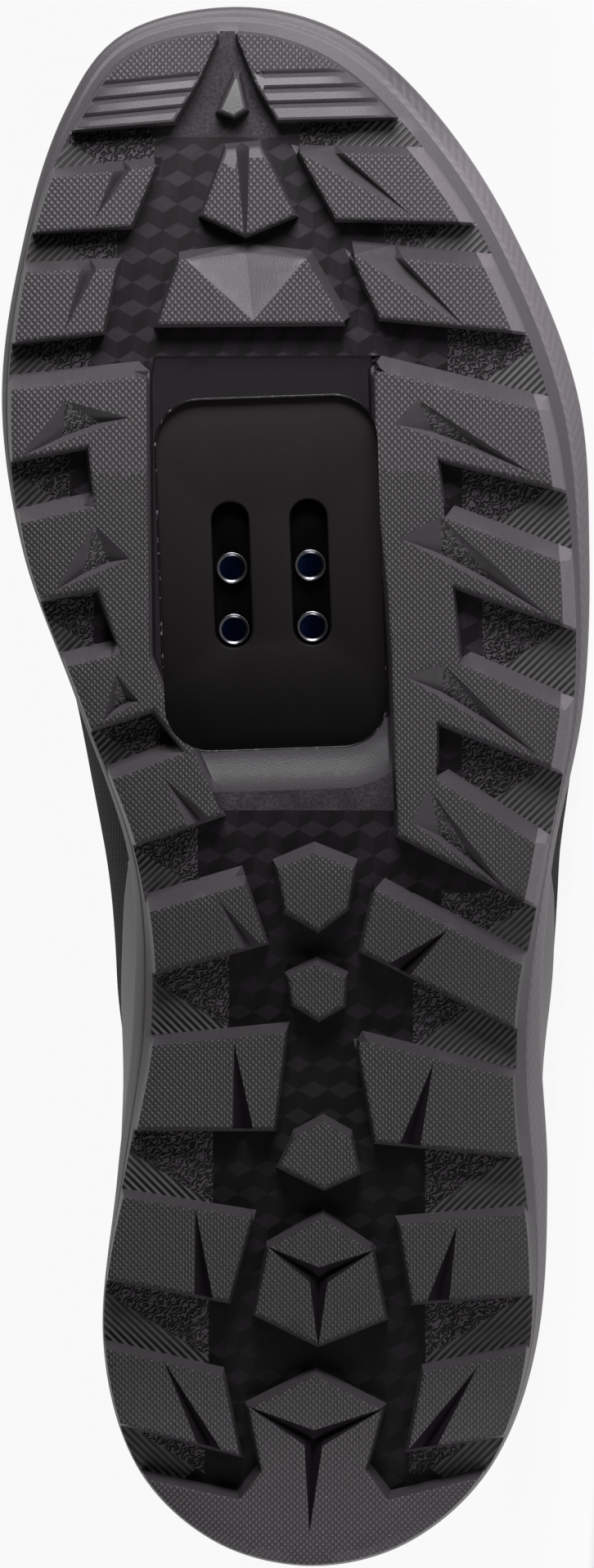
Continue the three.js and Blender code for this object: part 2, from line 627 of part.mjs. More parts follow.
function treadEnvelope() {
  const rings = [];
  for (let k = 0; k <= STATIONS; k += 1) {
    const share = k / STATIONS;
    const along = stationAlong(k);
    const half = [1, -1].map((side) => {
      const growth = outerGrowth(along, side);
      const edge = treadPoint(share, side);
      const ground = groundHeight(edge.x, edge.y);
      return [
        withHeight(treadPoint(share, side, -0.6 * growth), ground - 3),
        withHeight(treadPoint(share, side, growth), ground + LUG_DEPTH),
        withHeight(treadPoint(share, side, 0.8 * growth), ground + LUG_DEPTH + LUG_ROOT + 1),
      ];
    });
    rings.push([...half[0], ...half[1].reverse()]);
  }
  return loft(rings);
}

// Extra points along a lug's long edges, so that it follows the outline and the toe spring
function subdivided(corners, longest) {
  return corners.flatMap((corner, i) => {
    const next = corners[(i + 1) % corners.length];
    const steps = Math.max(1, Math.ceil(corner.distanceTo(next) / longest));
    return Array.from({ length: steps }, (_, j) => corner.clone().lerp(next, j / steps));
  });
}

function drafted(outline) {
  const edges = outline.map((p, i) => {
    const next = outline[(i + 1) % outline.length];
    const direction = next.clone().sub(p).normalize();
    const normal = new THREE.Vector2(direction.y, -direction.x);
    return { normal, draft: normal.x > 0.45 ? FRONT_DRAFT : SIDE_DRAFT };
  });
  return outline.map((p, i) => {
    const a = edges[(i + outline.length - 1) % outline.length];
    const b = edges[i];
    const cross = a.normal.cross(b.normal);
    if (Math.abs(cross) < 0.25) return p.clone().addScaledVector(b.normal, (a.draft + b.draft) / 2);
    const shift = new THREE.Vector2(
      (a.draft * b.normal.y - b.draft * a.normal.y) / cross,
      (b.draft * a.normal.x - a.draft * b.normal.x) / cross,
    );
    return p.clone().add(shift.clampLength(0, 2 * FRONT_DRAFT));
  });
}

function lug(outline) {
  const tread = counterClockwise(outline);
  const root = drafted(tread);
  return spannedSolid(
    tread,
    (p) => withHeight(p, groundHeight(p.x, p.y)),
    (p, i) => withHeight(root[i], floorHeight(p.x, p.y) + LUG_ROOT),
  );
}

const EDGE_REACH = 1.15;

function edgeBlock({ outerFront, front, rear, outerRear, side }) {
  const corners = [[outerFront, side * EDGE_REACH], front, rear, [outerRear, side * EDGE_REACH]];
  return lug(subdivided(corners.map(spot), 14));
}

function rail({ side, start, inner, pockets, outerEnd }) {
  const outer = side * EDGE_REACH;
  const corners = [[start.outerFront, outer]];
  for (const pocket of pockets) {
    corners.push([pocket.outerFront, outer], [pocket.front, pocket.inner]);
    corners.push([pocket.rear, pocket.inner], [pocket.outerRear, outer]);
  }
  corners.push([outerEnd, outer], ...inner.slice().reverse());
  return lug(corners.map(spot));
}

function wedgeGroove({ from, to, medialWidth, lateralWidth, depth = GROOVE_DEPTH }) {
  const start = spot(from);
  const end = spot(to);
  const ahead = start.clone().sub(end).normalize();
  const toLateral = ahead.x > 0 ? new THREE.Vector2(-ahead.y, ahead.x) : new THREE.Vector2(ahead.y, -ahead.x);
  start.addScaledVector(ahead, 1.2);
  const ground = groundHeight(start.x, start.y);
  const skin = 0.6;
  const scale = (depth + skin) / depth;
  const points = [
    withHeight(start.clone().addScaledVector(toLateral, -medialWidth * scale), ground - skin),
    withHeight(start.clone().addScaledVector(toLateral, lateralWidth * scale), ground - skin),
    withHeight(start, ground + depth),
    withHeight(end, groundHeight(end.x, end.y) - 0.05),
  ];
  return solidFromTriangles(points, [0, 1, 2, 0, 3, 1, 1, 3, 2, 2, 3, 0]);
}

function yGroove({ centre, arms }) {
  return arms.map((arm) => wedgeGroove({
    from: centre, to: arm, medialWidth: 1.7, lateralWidth: 1.7, depth: GROOVE_DEPTH,
  }));
}

function pit({ front, inner, outer }) {
  const corners = [front, inner, outer].map(spot);
  const depths = [0, PIT_DEPTH, 0.6 * PIT_DEPTH];
  const outline = counterClockwise(corners);
  const depthOf = (p) => depths[corners.indexOf(p)];
  return spannedSolid(
    outline,
    (p) => withHeight(p, groundHeight(p.x, p.y) - 2),
    (p) => withHeight(p, groundHeight(p.x, p.y) + depthOf(p)),
  );
}

// Smooth ribs across the rear half of each toe pad
const TOE_RIB_PITCH = 2.75;
const TOE_RIB_COUNT = 3;

function toeRibGrooves(rear, out) {
  return Array.from({ length: TOE_RIB_COUNT }, (_, i) => {
    const [a, b] = [rear, out].map(([along, across]) => axisSpot([along, across]));
    const shift = new THREE.Vector2((i + 1) * TOE_RIB_PITCH, 0);
    a.add(shift);
    b.add(shift);
    const rings = [a, b].map((p) => {
      const ground = groundHeight(p.x, p.y);
      return [[-0.9, -1], [0.9, -1], [0, 1.1]].map(([ahead, up]) =>
        new THREE.Vector3(p.x + ahead, p.y, ground + up));
    });
    return loft(rings, true);
  });
}

// Cleat parts are placed round one centre and turned by the cleat angle
const cleatCentre = axisSpot([CLEAT_ALONG, CLEAT_ACROSS]);

function atCleat(outline, ahead = 0, out = 0) {
  return outline.map((p) =>
    p.clone().add(new THREE.Vector2(ahead, out)).rotateAround(new THREE.Vector2(), -CLEAT_ANGLE).add(cleatCentre));
}

const pocketFloor = LUG_DEPTH + POCKET_DEPTH;
const plateLength = WINDOW_LENGTH + 2 * PLATE_SEAT;
const plateWidth = WINDOW_WIDTH + 2 * PLATE_SEAT;
const plateCorner = WINDOW_CORNER + PLATE_SEAT;
const plateTop = PLATE_RECESS + PLATE_THICKNESS;

function cleatPocket() {
  const inner = [...MEDIAL_RAIL.inner, ...LATERAL_RAIL.inner.slice().reverse()];
  const front = [[0.777, 0.45], [0.777, -0.47]];
  const region = planPrism([...inner, ...front].map(spot), -20, pocketFloor);
  const frontX = 0.777 * SOLE_LENGTH;
  const rearX = cleatCentre.x - WINDOW_LENGTH / 2;
  const ramp = sidePrism([
    new THREE.Vector2(frontX, -20),
    new THREE.Vector2(frontX, pocketFloor),
    new THREE.Vector2(rearX, pocketFloor),
    new THREE.Vector2(rearX - 7, LUG_DEPTH - 0.1),
    new THREE.Vector2(rearX - 7, -20),
  ]);
  return region.intersect(ramp);
}

function makeOutsole() {
  const tallest = 60;
  const seat = roundedRectangle(plateLength + 2 * GAP, plateWidth + 2 * GAP, plateCorner);
  const window = roundedRectangle(WINDOW_LENGTH, WINDOW_WIDTH, WINDOW_CORNER);
  const body = soleBody()
    .subtract(lastSolid(GAP, GAP))
    .subtract(cleatPocket());
  const lugs = joined([
    ...EDGE_BLOCKS.map(edgeBlock),
    rail(MEDIAL_RAIL),
    rail(LATERAL_RAIL),
    ...Object.values(CENTRE_LUGS).map((corners) => lug(corners.map(spot))),
    lug(subdivided(HEEL_BLOCK.map(axisSpot), 12)),
    ...Object.values(TOE_PADS).map((corners) => lug(subdivided(corners.map(axisSpot), 12))),
  ]);
  const cuts = joined([
    ...GROOVES.map(wedgeGroove),
    ...Y_GROOVES.flatMap(yGroove),
    ...PITS.map(pit),
    ...toeRibGrooves([0.914, -0.5], [0.925, -0.2]),
    ...toeRibGrooves([0.926, -0.085], [0.929, 0.2]),
  ]);
  return body
    .add(lugs.subtract(cuts).intersect(treadEnvelope()))
    .subtract(planPrism(atCleat(window), pocketFloor - 0.5, tallest))
    .subtract(planPrism(atCleat(seat), PLATE_RECESS - GAP, tallest));
}

function makeCleatPlate() {
  const slot = roundedRectangle(SLOT_LENGTH, SLOT_WIDTH, SLOT_WIDTH / 2 - 0.01);
  const plate = planPrism(atCleat(roundedRectangle(plateLength, plateWidth, plateCorner)), PLATE_RECESS, plateTop);
  const slots = [1, -1].map((side) => planPrism(atCleat(slot, 0, (side * SLOT_SPACING) / 2), 0, 40));
  return plate.subtract(joined(slots));
}

function makeNutPlate() {
  const bottom = plateTop + GAP;
  const outline = roundedRectangle(NUT_LENGTH, SLOT_SPACING + 8, 4);
  const strip = planPrism(atCleat(outline, NUT_SHIFT), bottom, bottom + NUT_THICKNESS);
  const places = [1, -1].flatMap((side) => [1, -1].map((row) =>
    [NUT_SHIFT + (row * NUT_ROW_SPACING) / 2, (side * SLOT_SPACING) / 2]));
  const round = (diameter, low, high) => joined(places.map(([ahead, out]) =>
    planPrism(atCleat(circle(new THREE.Vector2(), diameter, BARREL_SIDES), ahead, out), low, high)));
  return strip.add(round(BARREL_DIAMETER, PLATE_RECESS + 1, bottom + 0.5)).subtract(round(THREAD_BORE, 0, 40));
}

// The insole fills the shell's floor
function makeInsole() {
  const rings = [];
  for (let k = 0; k <= STATIONS; k += 1) {
    const share = k / STATIONS;
    const foot = footbedHeight(stationAlong(k));
    const [lateral, medial] = [1, -1].map((side) => shellPoint(loopAt(share, side), 0, -UPPER_WALL - 2 * GAP));
    rings.push([
      lateral.clone().setZ(foot), lateral.clone().setZ(foot + INSOLE_THICKNESS),
      medial.clone().setZ(foot + INSOLE_THICKNESS), medial.clone().setZ(foot),
    ]);
  }
  return loft(rings);
}

// Openings of the upper
function collarCutter() {
  const line = COLLAR.map(({ along, climb }) =>
    new THREE.Vector2(along * SOLE_LENGTH, ANKLE_HEIGHT + climb * (COLLAR_HEIGHT - ANKLE_HEIGHT)));
  const smooth = new THREE.SplineCurve(line).getPoints(16);
  const sky = 3 * COLLAR_HEIGHT;
  const front = smooth[smooth.length - 1].x;
  return sidePrism([...smooth, new THREE.Vector2(front, sky), new THREE.Vector2(smooth[0].x, sky)]);
}

function throatOutline(margin, from, to) {
  const steps = 8;
  const edges = [1, -1].map((side) => Array.from({ length: steps + 1 }, (_, i) => {
    const along = from + ((to - from) * i) / steps;
    const half = THROAT_HALF_WIDTH * between(THROAT, 'spread', along) + margin;
    return axisSpot([along, follow(LAST, 'shift', along)]).add(new THREE.Vector2(0, side * half));
  }));
  return [...edges[0], ...edges[1].reverse()];
}

const throatTop = THROAT[0].along;
const throatFront = THROAT[THROAT.length - 1].along;
const throatCutter = () => planPrism(throatOutline(0, throatTop, throatFront), 30, 3 * COLLAR_HEIGHT);

// Eyelets stand in two rows beside the throat
const EYELET_MARGIN = 6.5;
const FIRST_EYELET = 0.625;
const LAST_EYELET = 0.44;

function eyelet(row, side) {
  const along = THREE.MathUtils.lerp(FIRST_EYELET, LAST_EYELET, row / (EYELET_ROWS - 1));
  return { along, width: side * (THROAT_HALF_WIDTH * between(THROAT, 'spread', along) + EYELET_MARGIN) };
}

function eyeletBores() {
  const bores = [];
  for (let row = 0; row < EYELET_ROWS; row += 1) {
    for (const side of [1, -1]) {
      const { along, width } = eyelet(row, side);
      const path = [-UPPER_WALL - 2, 4].map((offset) => topPoint(along, width, offset));
      bores.push(bar(path, EYELET_BORE, BORE_SIDES));
    }
  }
  return joined(bores);
}

function makeUpper() {
  return lastSolid(0, 0)
    .subtract(lastSolid(-UPPER_WALL, 6))
    .subtract(collarCutter())
    .subtract(throatCutter())
    .subtract(eyeletBores());
}

// An overlay is a strip of the last's own surface, raised off the upper: rings of points run
// round the strip, each from its low edge to its high edge and back on the outer face. The last,
// grown by the gap, trims its inner face.
const grownLast = lastSolid(GAP, 0);

function overlay(steps, faceAt) {
  const strip = loft(Array.from({ length: steps + 1 }, (_, i) => {
    const inner = faceAt(i / steps, -OVERLAY_THICKNESS / 2);
    const outer = faceAt(i / steps, GAP + OVERLAY_THICKNESS);
    return [...inner, ...outer.reverse()];
  }), true);
  return strip.subtract(grownLast);
}

// A band round the heel or toe, standing on the sole's lip and rising as its table says
function lipBand(table, loopFrom, loopTo, steps, rows) {
  return overlay(steps, (t, offset) => {
    const loop = THREE.MathUtils.lerp(loopFrom, loopTo, t);
    const share = Math.abs(((loop + 3) % 2) - 1);
    const along = (1 - Math.cos(Math.PI * share)) / 2;
    const low = riseAtHeight(loop, lipHeight(along) + 2 * GAP);
    const high = Math.max(follow(table, 'rise', along), low + 0.02);
    return Array.from({ length: rows + 1 }, (_, r) =>
      shellPoint(loop, THREE.MathUtils.lerp(low, high, r / rows), offset));
  });
}

// How far the toe cap and heel counter rise, as shares of the way up to the ridge
const TOE_CAP = [
  { along: 0.79, rise: 0.14 },
  { along: 0.84, rise: 0.36 },
  { along: 0.9, rise: 0.58 },
  { along: 0.96, rise: 0.7 },
  { along: 1, rise: 0.73 },
];
const HEEL_COUNTER = [
  { along: 0, rise: 0.38 },
  { along: 0.07, rise: 0.35 },
  { along: 0.16, rise: 0.22 },
  { along: 0.25, rise: 0.16 },
  { along: 0.34, rise: 0.15 },
  { along: 0.41, rise: 0.12 },
  { along: 0.45, rise: 0.07 },
];

function makeToeCap() {
  const half = 1 - turn(TOE_CAP[0].along);
  return lipBand(TOE_CAP, 1 - half, 1 + half, 16, 2);
}

function makeHeelCounter() {
  const half = turn(HEEL_COUNTER[HEEL_COUNTER.length - 1].along);
  return lipBand(HEEL_COUNTER, -half, half, 22, 2);
}

// The eyestay is a U round the throat: two straight arms joined by an arc at the front
const EYESTAY_REAR = 0.39;
const THROAT_ARC = 0.645;

function makeEyestay() {
  const arcShare = 0.25;
  const edgePoint = (t, reach, margin) => {
    const side = Math.sign(t - 0.5);
    const s = Math.abs(2 * t - 1);
    const turned = Math.min(s / arcShare, 1) * (Math.PI / 2);
    const back = Math.max(0, (s - arcShare) / (1 - arcShare));
    const along = THREE.MathUtils.lerp(THROAT_ARC, EYESTAY_REAR, back) + reach * Math.cos(turned);
    const half = THROAT_HALF_WIDTH * between(THROAT, 'spread', Math.min(along, THROAT_ARC)) + margin;
    return [along, side * half * Math.sin(turned)];
  };
  const tip = throatFront - THROAT_ARC;
  const strip = overlay(22, (t, offset) => Array.from({ length: 4 }, (_, r) => {
    const inner = edgePoint(t, tip, 0);
    const outer = edgePoint(t, tip + EYESTAY_WIDTH / SOLE_LENGTH / 2, EYESTAY_WIDTH);
    const [along, width] = inner.map((value, i) => THREE.MathUtils.lerp(value, outer[i], r / 3));
    return topPoint(along, width, offset);
  }));
  return strip.subtract(collarCutter()).subtract(eyeletBores());
}

// The tongue lies under the throat and stands a little over the collar
const TONGUE = [
  { along: 0.365, thick: 0.6, wide: 0.55 },
  { along: 0.375, thick: 0.9, wide: 0.8 },
  { along: 0.4, thick: 1, wide: 0.95 },
  { along: 0.45, thick: 1, wide: 1 },
  { along: 0.51, thick: 0.9, wide: 1 },
  { along: 0.58, thick: 0.75, wide: 0.95 },
  { along: 0.64, thick: 0.5, wide: 0.88 },
  { along: 0.7, thick: 0.3, wide: 0.75 },
];
const TONGUE_HALF_WIDTH = 24;
const LINING_GAP = 0.8;

function makeTongue() {
  const columns = 4;
  return loft(TONGUE.map(({ along, thick, wide }) => {
    const face = (depth) => Array.from({ length: 2 * columns + 1 }, (_, i) =>
      topPoint(along, ((i - columns) / columns) * wide * TONGUE_HALF_WIDTH, -UPPER_WALL - LINING_GAP - depth));
    return [...face(0), ...face(thick * TONGUE_THICKNESS).reverse()];
  }), true);
}

// The lace crosses from each eyelet to the next one up on the other side, over the eyestay
function makeLace() {
  const lift = OVERLAY_THICKNESS + 2.5 * GAP + LACE_DIAMETER / 2;
  const steps = 5;
  const strand = (rowFrom, rowTo, side) => {
    const start = eyelet(rowFrom, side);
    const end = eyelet(rowTo, -side);
    const path = Array.from({ length: steps + 1 }, (_, i) => {
      const along = THREE.MathUtils.lerp(start.along, end.along, i / steps);
      return topPoint(along, THREE.MathUtils.lerp(start.width, end.width, i / steps), lift);
    });
    return bar(path, LACE_DIAMETER, LACE_SIDES);
  };
  const strands = [strand(0, 0, 1)];
  for (let row = 0; row < EYELET_ROWS - 1; row += 1) {
    strands.push(strand(row, row + 1, 1), strand(row, row + 1, -1));
  }
  return joined(strands);
}

// Meshes, gathered standing, without the slivers that cuts leave
const SMALLEST_STEP = 0.08;
const shoe = new THREE.Group();

function addPiece(name, solid, material) {
  const mesh = solid.simplify(SMALLEST_STEP).getMesh();
  const geometry = new THREE.BufferGeometry();
  geometry.setAttribute('position', new THREE.BufferAttribute(new Float32Array(mesh.vertProperties), 3));
  geometry.setIndex(new THREE.BufferAttribute(new Uint32Array(mesh.triVerts), 1));
  geometry.computeVertexNormals();
  const piece = new THREE.Mesh(geometry, material);
  piece.name = name;
  shoe.add(piece);
}

addPiece('outsole', makeOutsole(), MATERIALS.rubber);
addPiece('cleat_plate', makeCleatPlate(), MATERIALS.plate);
addPiece('cleat_nut_plate', makeNutPlate(), MATERIALS.steel);
addPiece('insole', makeInsole(), MATERIALS.foam);
addPiece('upper', makeUpper(), MATERIALS.mesh);
addPiece('toe_cap', makeToeCap(), MATERIALS.film);
addPiece('heel_counter', makeHeelCounter(), MATERIALS.film);
addPiece('eyestay', makeEyestay(), MATERIALS.film);
addPiece('tongue', makeTongue(), MATERIALS.lining);
addPiece('lace', makeLace(), MATERIALS.cord);

// The shoe lies on its lateral side: on the face of its hull, nearest its centre, that faces there
function volumeCentre(pieces) {
  const centre = new THREE.Vector3();
  let volume = 0;
  for (const { geometry } of pieces) {
    const { index, attributes } = geometry;
    for (let i = 0; i < index.count; i += 3) {
      const [a, b, c] = [0, 1, 2].map((j) =>
        new THREE.Vector3().fromBufferAttribute(attributes.position, index.getX(i + j)));
      const part = a.dot(b.clone().cross(c)) / 6;
      volume += part;
      centre.addScaledVector(a.add(b).add(c), part / 4);
    }
  }
  return centre.divideScalar(volume);
}

function layOnLateralSide(group) {
  const points = group.children.flatMap((piece) => {
    const { position } = piece.geometry.attributes;
    return Array.from({ length: position.count }, (_, i) => new THREE.Vector3().fromBufferAttribute(position, i));
  });
  const centre = volumeCentre(group.children);
  const hull = new ConvexHull().setFromPoints(points);
  const sideways = hull.faces.filter((face) => face.normal.y > 0.9);
  const reach = (face) => face.constant - face.normal.dot(centre);
  const rest = sideways.reduce((best, face) => (reach(face) < reach(best) ? face : best));
  const down = new THREE.Quaternion().setFromUnitVectors(rest.normal, new THREE.Vector3(0, 0, -1));
  const toe = new THREE.Vector3(1, 0, 0).applyQuaternion(down);
  const spin = new THREE.Quaternion().setFromAxisAngle(new THREE.Vector3(0, 0, 1), -Math.atan2(toe.y, toe.x));
  group.quaternion.copy(spin.multiply(down));
  const box = new THREE.Box3().setFromPoints(points.map((p) => p.clone().applyQuaternion(group.quaternion)));
  const middle = box.getCenter(new THREE.Vector3());
  group.position.set(-middle.x, -middle.y, -box.min.z);
}

layOnLateralSide(shoe);

const model = new THREE.Group();
model.add(shoe);
model.updateMatrixWorld(true);

export default model;
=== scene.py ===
# The looks of a lugged off-road cycling shoe that lies on its outer side.
# The shoe is drawn standing, in millimetres: x from heel to toe, y to the outer (lateral) side and
# z up from the ground. lie() turns it on its side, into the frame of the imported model, in metres.

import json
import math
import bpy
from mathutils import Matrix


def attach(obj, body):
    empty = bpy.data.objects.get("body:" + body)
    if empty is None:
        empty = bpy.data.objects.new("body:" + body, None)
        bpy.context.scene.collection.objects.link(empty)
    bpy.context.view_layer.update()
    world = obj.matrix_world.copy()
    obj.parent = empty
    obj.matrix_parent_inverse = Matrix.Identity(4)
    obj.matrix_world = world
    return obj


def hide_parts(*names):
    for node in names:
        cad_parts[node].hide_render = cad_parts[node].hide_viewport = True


bl_info = {
    "name": "Cycling Shoe",
    "version": (1, 0, 0),
    "blender": (4, 5, 0),
    "location": "3D View > Sidebar > Shoe",
    "description": "Builds a lugged off-road cycling shoe and the stage it lies on",
    "category": "Add Mesh",
}

import bpy
import numpy as np
from bpy.props import FloatProperty, FloatVectorProperty, PointerProperty
from mathutils import Matrix, Vector
from mathutils.geometry import delaunay_2d_cdt

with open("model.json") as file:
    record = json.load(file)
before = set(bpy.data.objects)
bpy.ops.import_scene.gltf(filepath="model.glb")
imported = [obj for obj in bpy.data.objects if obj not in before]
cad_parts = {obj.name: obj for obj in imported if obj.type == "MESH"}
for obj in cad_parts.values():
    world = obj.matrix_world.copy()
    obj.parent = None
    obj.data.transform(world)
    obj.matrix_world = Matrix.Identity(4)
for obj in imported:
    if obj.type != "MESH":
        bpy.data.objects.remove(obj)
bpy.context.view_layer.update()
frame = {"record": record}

# The sole's main sizes
LUG_DEPTH = 5
SOLE_LENGTH = 279
BALL_WIDTH = 103
HEEL_STACK = 24
TOE_SPRING = 14
TOE_SPRING_CURVE = 1.8
HEEL_BEVEL = 4
HEEL_BEVEL_LENGTH = 20
ARCH_LIFT = 2.5
ARCH_REAR = 0.24
ARCH_SPAN = 0.22
EDGE_ROLL = 1.6
SIDE_FLARE = 6
LIP_THICKNESS = 1.6
TOE_LIP_HEIGHT = 22
OUTER_DRAFT = 0.6
POCKET_DEPTH = 1.6

# Shares of the sole's length: where the forefoot's spring and its staggered diamonds start, where
# the smooth toe bumper takes over from the lugs, and where the side band ends
FOREFOOT = 0.7
BUMPER_START = 0.92
SIDE_BAND_END = 0.96

# The lateral lugs' outer ends slope, and from the waist forwards they are painted pale as lit
# faces. The slope stops again near the toe, and fades in and out over a share of the length.
WAIST = 0.4
END_STOP = 0.93
END_FADE = 0.02

# The upper's main sizes
FEATHER_INSET = 3.2
INSTEP_RISE = 67
COLLAR_HEIGHT = 97
ANKLE_HEIGHT = 74
THROAT_HALF_WIDTH = 12
EYESTAY_WIDTH = 16
TONGUE_THICKNESS = 4.5
TONGUE_HALF_WIDTH = 24
INSOLE_THICKNESS = 4
EYELET_ROWS = 5

# The cleat mount's sizes
CLEAT_ALONG = 0.636
CLEAT_ACROSS = -0.073
CLEAT_ANGLE = math.radians(2)
WINDOW_LENGTH = 62.6
WINDOW_WIDTH = 39.6
WINDOW_CORNER = 8
PLATE_THICKNESS = 3.2
PLATE_RECESS = 8.2
PLATE_SEAT = 3
SLOT_SPACING = 14
SLOT_LENGTH = 26
SLOT_WIDTH = 6.6
NUT_LENGTH = 34
NUT_THICKNESS = 1.8
NUT_ROW_SPACING = 11
NUT_SHIFT = -4.3
BARREL_DIAMETER = 5.6
THREAD_BORE = 4.2

# Clearance between pieces that touch on the real shoe
GAP = 0.3

# Points nearer than this, or as near by shares, count as touching
CLOSE = 1e-4

# The camera: where on the tread it looks, how much of the tread its picture's height takes in and how
# far off it stands, in millimetres, then its sensor's width and how many metres off drawing ends
VIEW_CENTRE = (139.8, -2.9, 0)
VIEW_HEIGHT = 279.4
VIEW_DISTANCE = 4800
SENSOR_WIDTH = 36
DRAWING_END = 100

# A place on the heel's flat centre lug, which the record's heel mount names
HEEL_SPOT = (0.175 * SOLE_LENGTH, 6, 0)

# The rim is the sole's widest line: along, then the medial and the lateral share of the ball width
RIM = (
    (0, 0, 0), (0.017, 0.177, 0.174), (0.067, 0.31, 0.314), (0.146, 0.364, 0.39),
    (0.25, 0.34, 0.407), (0.35, 0.314, 0.395), (0.45, 0.318, 0.415), (0.55, 0.406, 0.468),
    (0.65, 0.503, 0.479), (0.75, 0.54, 0.459), (0.854, 0.5, 0.348), (0.933, 0.431, 0.209),
    (0.983, 0.328, 0.053), (1, 0.132, -0.132),
)

# How far the tread's edge stands inside the rim: along, medial, lateral, as shares of the flare
TREAD_INSET = (
    (0, 0.1, 0.1), (0.1, 0.08, 0.2), (0.2, 0.1, 0.55), (0.28, 0.45, 0.92), (0.36, 0.68, 0.75),
    (0.45, 0.33, 0.33), (0.55, 0.12, 0.4), (0.65, 0.1, 0.62), (0.75, 0.3, 0.98),
    (0.86, 0.32, 0.98), (0.94, 0.6, 1.05), (1, 0.85, 0.85),
)

# Along, the footbed's share of the heel stack, and the lip's share of the toe lip
SOLE_HEIGHTS = (
    (0, 1, 0.45), (0.12, 0.98, 0.42), (0.3, 0.93, 0.3), (0.5, 0.74, 0.24), (0.64, 0.64, 0.26),
    (0.75, 0.66, 0.32), (0.85, 0.75, 0.48), (0.93, 0.9, 0.78), (1, 1.08, 1),
)

# The last: along, ridge rise, ridge shift, squareness, medial and lateral swell, taper
LAST = (
    (0, 1.5, 0.02, 3.6, 0.08, 0.08, 0.26), (0.15, 1.52, 0.02, 3.6, 0.12, 0.08, 0.27),
    (0.3, 1.52, 0.02, 3, 0.35, 0.27, 0.25), (0.38, 1.42, 0, 2.5, 0.54, 0.41, 0.18),
    (0.46, 1.22, -0.02, 2.15, 0.57, 0.32, 0.1), (0.55, 1, -0.05, 2, 0.3, 0.2, 0.03),
    (0.65, 0.77, -0.085, 2, 0.14, 0.14, 0), (0.76, 0.6, -0.11, 2.15, 0.12, 0.12, 0),
    (0.88, 0.53, -0.13, 2.35, 0.1, 0.1, 0), (1, 0.5, -0.132, 2.5, 0.08, 0.08, 0),
)
RISE, SHIFT, SQUARENESS, SWELL_MEDIAL, SWELL_LATERAL, TAPER = range(1, 7)

# The collar line from heel tab to throat: along, and height between ankle and heel tab
COLLAR = (
    (-0.06, 1.02), (0.02, 1), (0.07, 0.86), (0.13, 0.42), (0.19, 0.12), (0.25, 0),
    (0.31, 0.14), (0.36, 0.55), (0.4, 1.05), (0.43, 1.35),
)

# The throat slot: along, and half-width as a share of its widest
THROAT = (
    (0.33, 1.1), (0.42, 1), (0.52, 0.9), (0.6, 0.8), (0.645, 0.68), (0.66, 0.45), (0.668, 0.02),
)

# Blocks at the tread's edge: side, outer front, front corner, rear corner, outer rear and the width
# of the sloping front wall. Corners are shares: along, and across from -1 medial to 1 lateral.
EDGE_BLOCKS = (
    (-1, 0.887, (0.896, -0.48), (0.858, -0.57), 0.853, 1.75),
    (-1, 0.827, (0.831, -0.62), (0.79, -0.66), 0.781, 1.9),
    (-1, 0.414, (0.437, -0.49), (0.4, -0.4), 0.376, 3.4),
    (-1, 0.332, (0.342, -0.27), (0.281, -0.28), 0.281, 1.9),
    (-1, 0.24, (0.224, -0.35), (0.171, -0.42), 0.189, 1.5),
    (-1, 0.145, (0.123, -0.45), (0.073, -0.41), 0.098, 1.5),
    (1, 0.9035, (0.905, 0.31), (0.8625, 0.38), 0.86, 1.5),
    (1, 0.829, (0.84, 0.4), (0.799, 0.45), 0.788, 2.5),
    (1, 0.377, (0.434, 0.17), (0.395, 0.12), 0.337, 2.6),
    (1, 0.309, (0.338, 0.13), (0.273, 0.26), 0.262, 1.7),
    (1, 0.228, (0.22, 0.38), (0.17, 0.45), 0.177, 1.5),
    (1, 0.142, (0.125, 0.52), (0.076, 0.52), 0.088, 1.5),
)

# The rails beside the cleat: side, outer and inner front, inner edge, pockets cut in from the outer
# edge (outer front, front, rear, inner end at front and rear, outer rear) and outer end
RAILS = (
    (-1, 0.75,
     ((0.762, -0.49), (0.688, -0.52), (0.583, -0.66), (0.542, -0.64), (0.524, -0.6), (0.482, -0.55)),
     ((0.704, 0.717, 0.678, -0.72, -0.72, 0.662), (0.615, 0.626, 0.584, -0.77, -0.77, 0.571),
      (0.53, 0.549, 0.521, -0.71, -0.64, 0.497)), 0.457),
    (1, 0.732,
     ((0.766, 0.38), (0.688, 0.32), (0.625, 0.31), (0.583, 0.29), (0.531, 0.27), (0.469, 0.28)),
     ((0.683, 0.709, 0.671, 0.555, 0.555, 0.631), (0.593, 0.628, 0.578, 0.555, 0.555, 0.537),
      (0.502, 0.541, 0.504, 0.45, 0.45, 0.448)), 0.416),
)

# Lugs down the middle, and the width of each one's front wall
CENTRE_LUGS = (
    (((0.954, 0.03), (0.954, 0.07), (0.933, 0.06), (0.928, -0.03), (0.932, -0.12)), 1.2),
    (((0.907, -0.1), (0.909, 0.1), (0.865, 0.19), (0.852, -0.05), (0.865, -0.24)), 1.2),
    (((0.836, -0.35), (0.842, -0.06), (0.837, 0.2), (0.796, 0.3), (0.795, -0.44)), 1.6),
    (((0.457, -0.13), (0.447, 0.06), (0.422, 0.03), (0.408, -0.12), (0.42, -0.29), (0.447, -0.32)), 1.9),
    (((0.386, -0.12), (0.377, 0.04), (0.36, 0.04), (0.351, -0.09), (0.361, -0.24), (0.377, -0.27)), 1.3),
    (((0.285, -0.02), (0.275, 0.13), (0.253, 0.17), (0.243, 0), (0.257, -0.23), (0.275, -0.17)), 1.3),
    (((0.224, 0), (0.202, 0.25), (0.16, 0.32), (0.143, 0.01), (0.163, -0.29), (0.204, -0.25)), 1.3),
)

